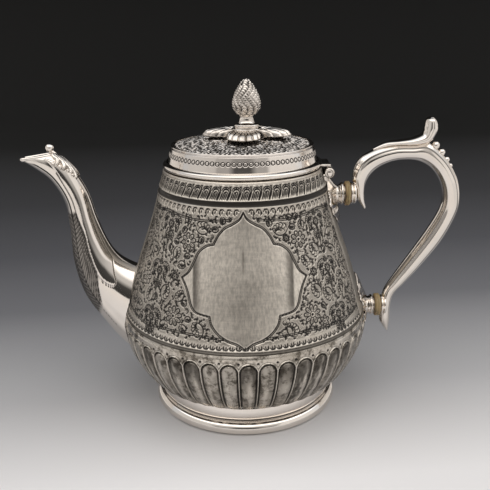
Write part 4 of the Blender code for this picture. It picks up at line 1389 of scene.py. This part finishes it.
def build_lid():
    cols = 1408
    wall = smooth_rows([(43.4, 149.4), (43.0, 151.0), (42.2, 154.2), (41.4, 157.1), (41.1, 158.1)], 18)
    edge = arc((40.6, 158.65), 0.60, -40, 150, 9)
    top = [(39.6, 159.0), (38.8, 158.9), (30.0, 160.4), (20.0, 161.6), (10.0, 162.1), (0.05, 162.3)]
    top = smooth_rows(top, 24)
    low = [(42.5, 147.0), (43.4, 147.0)]
    inner = [(0.05, 161.4), (22.0, 160.4), (30.0, 159.5), (38.6, 157.9), (40.2, 157.2), (42.4, 150.2)]
    outer_outline = np.vstack([wall, edge, top])
    points = spun_points(outer_outline, cols)
    radius = np.hypot(points[..., 0], points[..., 1])
    angle = turns(cols)
    heights = outer_outline[:, 1][:, None]
    # The stamped rings round the wall
    pitch = math.tau * 42.3 / RING_COUNT
    x = ((angle * RING_COUNT / math.tau) % 1.0 - 0.5)[None, :] * pitch
    rows_up = (heights - RING_HEIGHT) / 0.975
    wall_part = (np.arange(len(outer_outline)) < len(wall))[:, None]
    ring = line_mark(np.hypot(x, rows_up) - 1.08, 0.20, 0.44) * wall_part
    seam = line_mark(heights - 157.8, 0.0, 0.3) * wall_part * 0.5
    top_strokes = lid_strokes()
    flat = points.copy()
    flat[..., 2] = 0
    top_rows = np.arange(len(outer_outline)) >= len(wall) + len(edge)
    away = np.full(points.shape[:2], 1.2)
    away[top_rows] = top_strokes.measure(flat[top_rows])
    engraved = (radius < 38.4) & (radius > 12.0)
    top_cut = (1 - smooth_step(0.05, 0.42, away)) * engraved
    rim_line = line_mark(radius - 38.8, 0.0, 0.35) * top_rows[:, None]
    cut = np.clip(ring + seam + top_cut + 0.8 * rim_line, 0, 1)
    relief = 0.35 * smooth_step(0.0, 0.9, away) * engraved - 0.30 * cut + 0.12 * ring
    outside = points + surface_normals(points) * relief[..., None]
    closing = spun_points(inner + low[:1], cols)
    whole = np.concatenate([spun_points(low, cols), outside, closing])
    after = len(inner) + 1
    marks = {
        "cut": with_ends(cut, 2, after),
        "dull": with_ends(0.6 * engraved, 2, after, 0.4),
    }
    made = grid_object("chased_lid", whole, "lid", LID_SILVER, marks=marks)
    stand_in(made, "lid_shell")


def build_lid_rim():
    rim_outline = [
        (43.75, 146.3),
        (44.4, 146.25),
        *arc((44.75, 147.75), 1.5, -80, 60, 14),
        (45.1, 149.25),
        (44.6, 149.5),
        (44.2, 149.75),
        (43.75, 149.8),
    ]
    rim = spun("beaded_rim", rim_outline, "lid", POLISHED, cols=288)
    stand_in(rim, "lid_rim")
    bezel_outline = [(40.1, 137.5), (41.0, 137.5), (41.0, 151.0), (40.1, 151.0)]
    bezel = spun("deep_bezel", bezel_outline, "lid", POLISHED, cols=192)
    stand_in(bezel, "lid_bezel")


def build_rosette():
    """Four leaves like open fans with seven ribs each, which rise and then turn down at their tips."""
    n, cols = 46, 127
    t = np.linspace(0.0, 1, n)[:, None]
    s = np.linspace(-1, 1, cols)[None, :]
    ribs = 7
    phase = s * ribs * math.pi / 2
    lobed = np.abs(np.cos(phase))
    length = 22.2 * (1 - 0.52 * s**2) * (0.88 + 0.12 * lobed**0.5)
    reach = 3.2 + t * length
    spread = s * math.radians(38) * (0.75 + 0.25 * smooth_step(0.0, 0.5, t))
    arch = 1.2 + 2.9 * np.sin(math.pi * np.clip(t * 0.84 + 0.05, 0, 1)) - 1.2 * smooth_step(0.86, 1.0, t)
    swell = 1.5 * lobed**0.6 * smooth_step(0.05, 0.6, t) * (1 - 0.6 * smooth_step(0.9, 1.0, t) ** 2)
    height = CROWN_HEIGHT + arch * 0.85 + swell
    groove = np.clip(1 - lobed * 2.0, 0, 1) * smooth_step(0.1, 0.4, t)
    for k in range(4):
        face = spread + k * math.pi / 2 - math.radians(7)
        points = np.stack([FINIAL_X + reach * np.cos(face), reach * np.sin(face), height + 0 * s], axis=-1)
        leaf = grid_object(f"rosette_leaf_{k + 1}", points, "lid", CAST, wrap=False, marks={"cut": groove})
        thicken(leaf, 0.9)
        stand_in(leaf, "leaf_rosette")


def add_scale(verts, faces, cuts, centre, a, z, radius, slope, size):
    """One scale of the cone: a rounded, keeled petal that stands off at its tip."""
    n, m = 7, 7
    out = np.array([math.cos(a), math.sin(a), 0.0])
    side = np.array([-math.sin(a), math.cos(a), 0.0])
    up = np.array([0.0, 0.0, 1.0]) * math.cos(slope) + out * math.sin(slope)
    normal = out * math.cos(slope) - np.array([0.0, 0.0, 1.0]) * math.sin(slope)
    base = len(verts)
    root = np.array([centre[0], centre[1], 0.0]) + out * radius + np.array([0, 0, z])
    for i in range(n):
        t = i / (n - 1)
        half = size * math.sin(math.pi * (0.22 + 0.72 * t)) ** 0.7
        for j in range(m):
            s = j / (m - 1) * 2 - 1
            belly = 0.45 * (1 - s * s) * math.sin(math.pi * (0.15 + 0.7 * t))
            stand = 0.05 + 0.75 * t * (1 - 0.6 * s * s) + belly
            verts.append(root + side * half * s + up * (t * 2.2 - 0.9) * size / 1.4 + normal * stand)
            cuts.append(0.75 * max(abs(s) ** 4, (1 - t) ** 2))
    for i in range(n - 1):
        for j in range(m - 1):
            p = base + i * m + j
            faces.append((p, p + 1, p + m + 1, p + m))


def build_finial():
    centre = (FINIAL_X, 0, 0)
    stem = [
        (2.0, 163.0),
        (8.2, 163.2),
        (8.4, 166.0),
        *arc((7.9, 167.0), 0.9, -60, 90, 6),
        (6.9, 168.0),
        *arc((6.3, 169.2), 0.9, -50, 90, 6),
        (5.4, 170.4),
        (4.6, 171.2),
        (4.1, 172.4),
        (3.95, 173.8),
        (4.3, 175.0),
        (4.9, 176.2),
        (2.0, 176.4),
    ]
    made = spun("finial_waist", stem, "lid", CAST, cols=64, centre=centre)
    stand_in(made, "finial_stem")
    profile = [(0.05, 175.6), (3.8, 175.7), (5.9, 177.2), (6.9, 179.6), (7.05, 182.0), (6.4, 185.0)]
    profile += [(5.2, 188.0), (3.6, 190.8), (1.9, 193.2), (0.05, 194.6)]
    core = smooth_rows(profile, 5)
    points = spun_points(core, 64, centre=centre)
    heart = grid_object("cone_heart", points, "lid", CAST, marks={"cut": np.full(points.shape[:2], 0.75)})
    face_out(heart)
    stand_in(heart, "pine_cone")
    faces, verts, cuts = [], [], []
    levels = 15
    for level in range(levels):
        z = 176.6 + 16.9 * (level / (levels - 1)) ** 0.95
        radius = float(np.interp(z, core[:, 1], core[:, 0]))
        rise = np.interp(z + 0.5, core[:, 1], core[:, 0]) - np.interp(z - 0.5, core[:, 1], core[:, 0])
        slope = float(np.clip(math.atan2(float(rise), 1.0), -1.1, 0.45))
        count = max(int(round(math.tau * radius / 3.3)), 4)
        size = 1.8 if radius > 4 else 1.4
        for k in range(count):
            a = math.tau * (k + 0.5 * (level % 2)) / count + level * 0.10
            add_scale(verts, faces, cuts, centre, a, z, radius, slope, size)
    scales = mesh_object("cone_scales", verts, faces, "lid", CAST, marks={"cut": cuts})
    thicken(scales, 0.3)
    stand_in(scales, "pine_cone")


# ---------------------------------------------------------------- hinge


def leaf_box(name, low, high, body, node, bevel):
    """A filed plate with rounded edges."""
    verts = [(x, y, z) for x in (low[0], high[0]) for y in (low[1], high[1]) for z in (low[2], high[2])]
    faces = [(0, 1, 3, 2), (4, 6, 7, 5), (0, 4, 5, 1), (2, 3, 7, 6), (0, 2, 6, 4), (1, 5, 7, 3)]
    made = mesh_object(name, verts, faces, body, CAST, sharp=60)
    face_out(made)
    rounding = made.modifiers.new("rounded_edges", "BEVEL")
    rounding.width = bevel * MM
    rounding.segments = 4
    apply_modifiers(made)
    stand_in(made, node)


def build_hinge():
    x, z = HINGE
    radius, half, inner = 2.9, 9.0, 2.9
    head = half + 0.25

    def barrel(name, low, high, body, node):
        bevel, bore = 0.35, 1.3
        outline = [
            (bore, low),
            (radius - bevel, low),
            (radius, low + bevel),
            (radius, high - bevel),
            (radius - bevel, high),
            (bore, high),
        ]
        made = spun(name, outline, body, CAST, cols=48, along="Y", centre=(x, 0, z))
        face_out(made)
        stand_in(made, node)

    barrel("hinge_knuckle_front", -half, -inner - 0.3, "pot", "hinge_body_leaf")
    barrel("hinge_knuckle_back", inner + 0.3, half, "pot", "hinge_body_leaf")
    barrel("hinge_knuckle_lid", -inner, inner, "lid", "hinge_lid_leaf")
    upper = [(1.0, half), (1.6, half + 0.02), (1.2, head), (0.01, head)]
    pin = [(r, -y) for r, y in reversed(upper)] + upper
    made = spun("riveted_pin", pin, "pot", POLISHED, cols=32, along="Y", centre=(x, 0, z))
    face_out(made)
    stand_in(made, "hinge_pin")
    for name, low, high in (("hinge_seat_front", -8.6, -inner - 0.4), ("hinge_seat_back", inner + 0.4, 8.6)):
        leaf_box(name, (45.2, low, 136.8), (x - 0.2, high, z - 0.4), "pot", "hinge_body_leaf", 1.6)
    leaf_box("hinge_flap", (44.6, -8.8, 146.15), (x + 0.6, 8.8, 147.5), "lid", "hinge_lid_leaf", 0.45)
    leaf_box("hinge_web", (x - 1.5, -2.5, z), (x + 0.2, 2.5, 146.6), "lid", "hinge_lid_leaf", 0.3)


# ---------------------------------------------------------------- stage, lights and camera


def build_stage():
    n = Nodes("backdrop_painted_falloff")
    where = n.add("ShaderNodeTexCoord").outputs["Object"]
    parts = n.add("ShaderNodeSeparateXYZ", {"Vector": where}).outputs
    # The floor and back are painted with the light's falloff: pale in front of the pot, dark behind it,
    # lighter to the right.
    y = n.math("SUBTRACT", parts["Y"], n.math("MULTIPLY", parts["X"], FALLOFF_LEAN))
    ramp = n.add("ShaderNodeValToRGB", {"Fac": n.spread(y, PAINTED_FALLOFF[0][0], PAINTED_FALLOFF[-1][0])})
    reach = PAINTED_FALLOFF[-1][0] - PAINTED_FALLOFF[0][0]
    stops = ramp.color_ramp.elements
    for i, ((place, tone), tint) in enumerate(zip(PAINTED_FALLOFF, PAINTED_FALLOFF_TINTS)):
        at = (place - PAINTED_FALLOFF[0][0]) / reach
        stop = stops[i] if i < 2 else stops.new(at)
        stop.position = at
        stop.color = (*[tone * c for c in tint], 1.0)
    aside = n.math("MULTIPLY", n.math("MAXIMUM", parts["Y"], 0.0), PALE_SLANT)
    aside = n.math("SUBTRACT", n.math("ABSOLUTE", parts["X"]), aside)
    pale = n.spread(aside, PALE_FROM, PALE_FULL)
    n.feed(n.shader, "Base Color", n.mix(pale, ramp.outputs["Color"], PALE_SIDES))
    n.feed(n.shader, "Roughness", 0.85)
    n.feed(n.shader, "Specular IOR Level", 0.15)
    bend = [(FLOOR_END + BEND * math.sin(a), BEND - BEND * math.cos(a)) for a in np.linspace(0.1, 1.57, 12)]
    profile = [(-FLOOR_HALF, 0.0), (FLOOR_END, 0.0), *bend, (FLOOR_END + BEND, BACK_TOP)]
    points = np.array([[(x, y, z) for x in (-FLOOR_HALF, FLOOR_HALF)] for y, z in profile]) * 1000.0
    floor = grid_object("floor", points, None, n.material, wrap=False)


def build_lights():
    """A soft tent: a lit front half and ceiling, brighter panels on both sides, and a dark back.

    Each spread is between two values of a direction's X, Y or Z, which run from -1 to 1.
    """
    world = bpy.data.worlds.new("studio_tent")
    bpy.context.scene.world = world
    world.use_nodes = True
    n = Nodes("studio_tent", world.node_tree)
    background = n.tree.nodes["Background"]
    direction = n.add("ShaderNodeTexCoord").outputs["Generated"]
    parts = n.add("ShaderNodeSeparateXYZ", {"Vector": direction}).outputs
    x, y, z = parts["X"], parts["Y"], parts["Z"]
    aside = n.math("ABSOLUTE", x)
    front = n.spread(y, 0.05, -0.45)
    wall = n.math("MULTIPLY", front, n.spread(z, 0.05, 0.5, TENT_LOW, TENT_HIGH))
    panel = n.math("MULTIPLY", n.spread(aside, 0.50, 0.66), n.spread(y, 0.76, 0.60))
    panel = n.math("MULTIPLY", panel, n.spread(x, -0.5, 0.5, SIDE_PANEL * 0.85, SIDE_PANEL * 1.15))
    gap = n.math("MULTIPLY", n.spread(aside, 0.36, 0.20), n.spread(z, 0.42, 0.28))
    gap = n.math("MULTIPLY", gap, front)
    ceiling = n.math("MULTIPLY", n.spread(z, 0.55, 0.72), n.spread(y, 0.55, 0.15))
    total = n.math("ADD", n.math("MAXIMUM", wall, panel), n.math("MULTIPLY", ceiling, CEILING))
    total = n.math("MULTIPLY", total, n.math("SUBTRACT", 1.0, n.math("MULTIPLY", gap, 0.88)))
    total = n.math("ADD", total, DARK_BACK)
    n.feed(background, "Color", n.mix(n.spread(y, 0.2, -0.1), COOL_LIGHT, WARM_LIGHT))
    n.feed(background, "Strength", total)


def build_camera():
    camera = bpy.data.cameras.new("camera")
    camera.sensor_width = 36.0
    camera.lens = LENS
    camera.clip_start = 0.01
    made = bpy.data.objects.new("camera", camera)
    bpy.context.scene.collection.objects.link(made)
    pan = Matrix.Rotation(math.radians(CAMERA_PAN), 4, "Z")
    tilt = Matrix.Rotation(math.radians(90 - CAMERA_DIP), 4, "X")
    roll = Matrix.Rotation(math.radians(CAMERA_ROLL), 4, "Z")
    made.matrix_world = Matrix.Translation(CAMERA_PLACE) @ pan @ tilt @ roll
    bpy.context.scene.camera = made


build_camera()
build_stage()
build_lights()
build_upper_body()
build_bowl()
build_foot()
build_mouth()
build_spout()
build_handle()
build_thumb_rest()
build_fittings()
build_lid()
build_lid_rim()
build_rosette()
build_finial()
build_hinge()

CAD_SKINS = {
    "upper_socket_pin": POLISHED,
    "lower_socket_pin": POLISHED,
    "upper_ferrule_pin": POLISHED,
    "lower_ferrule_pin": POLISHED,
    "finial_stud": BRASS,
    "finial_washer": BRASS,
    "finial_nut": BRASS,
}
for node, skin in CAD_SKINS.items():
    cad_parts[node].data.materials.clear()
    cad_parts[node].data.materials.append(skin)

bpy.context.scene.view_settings.view_transform = "Standard"
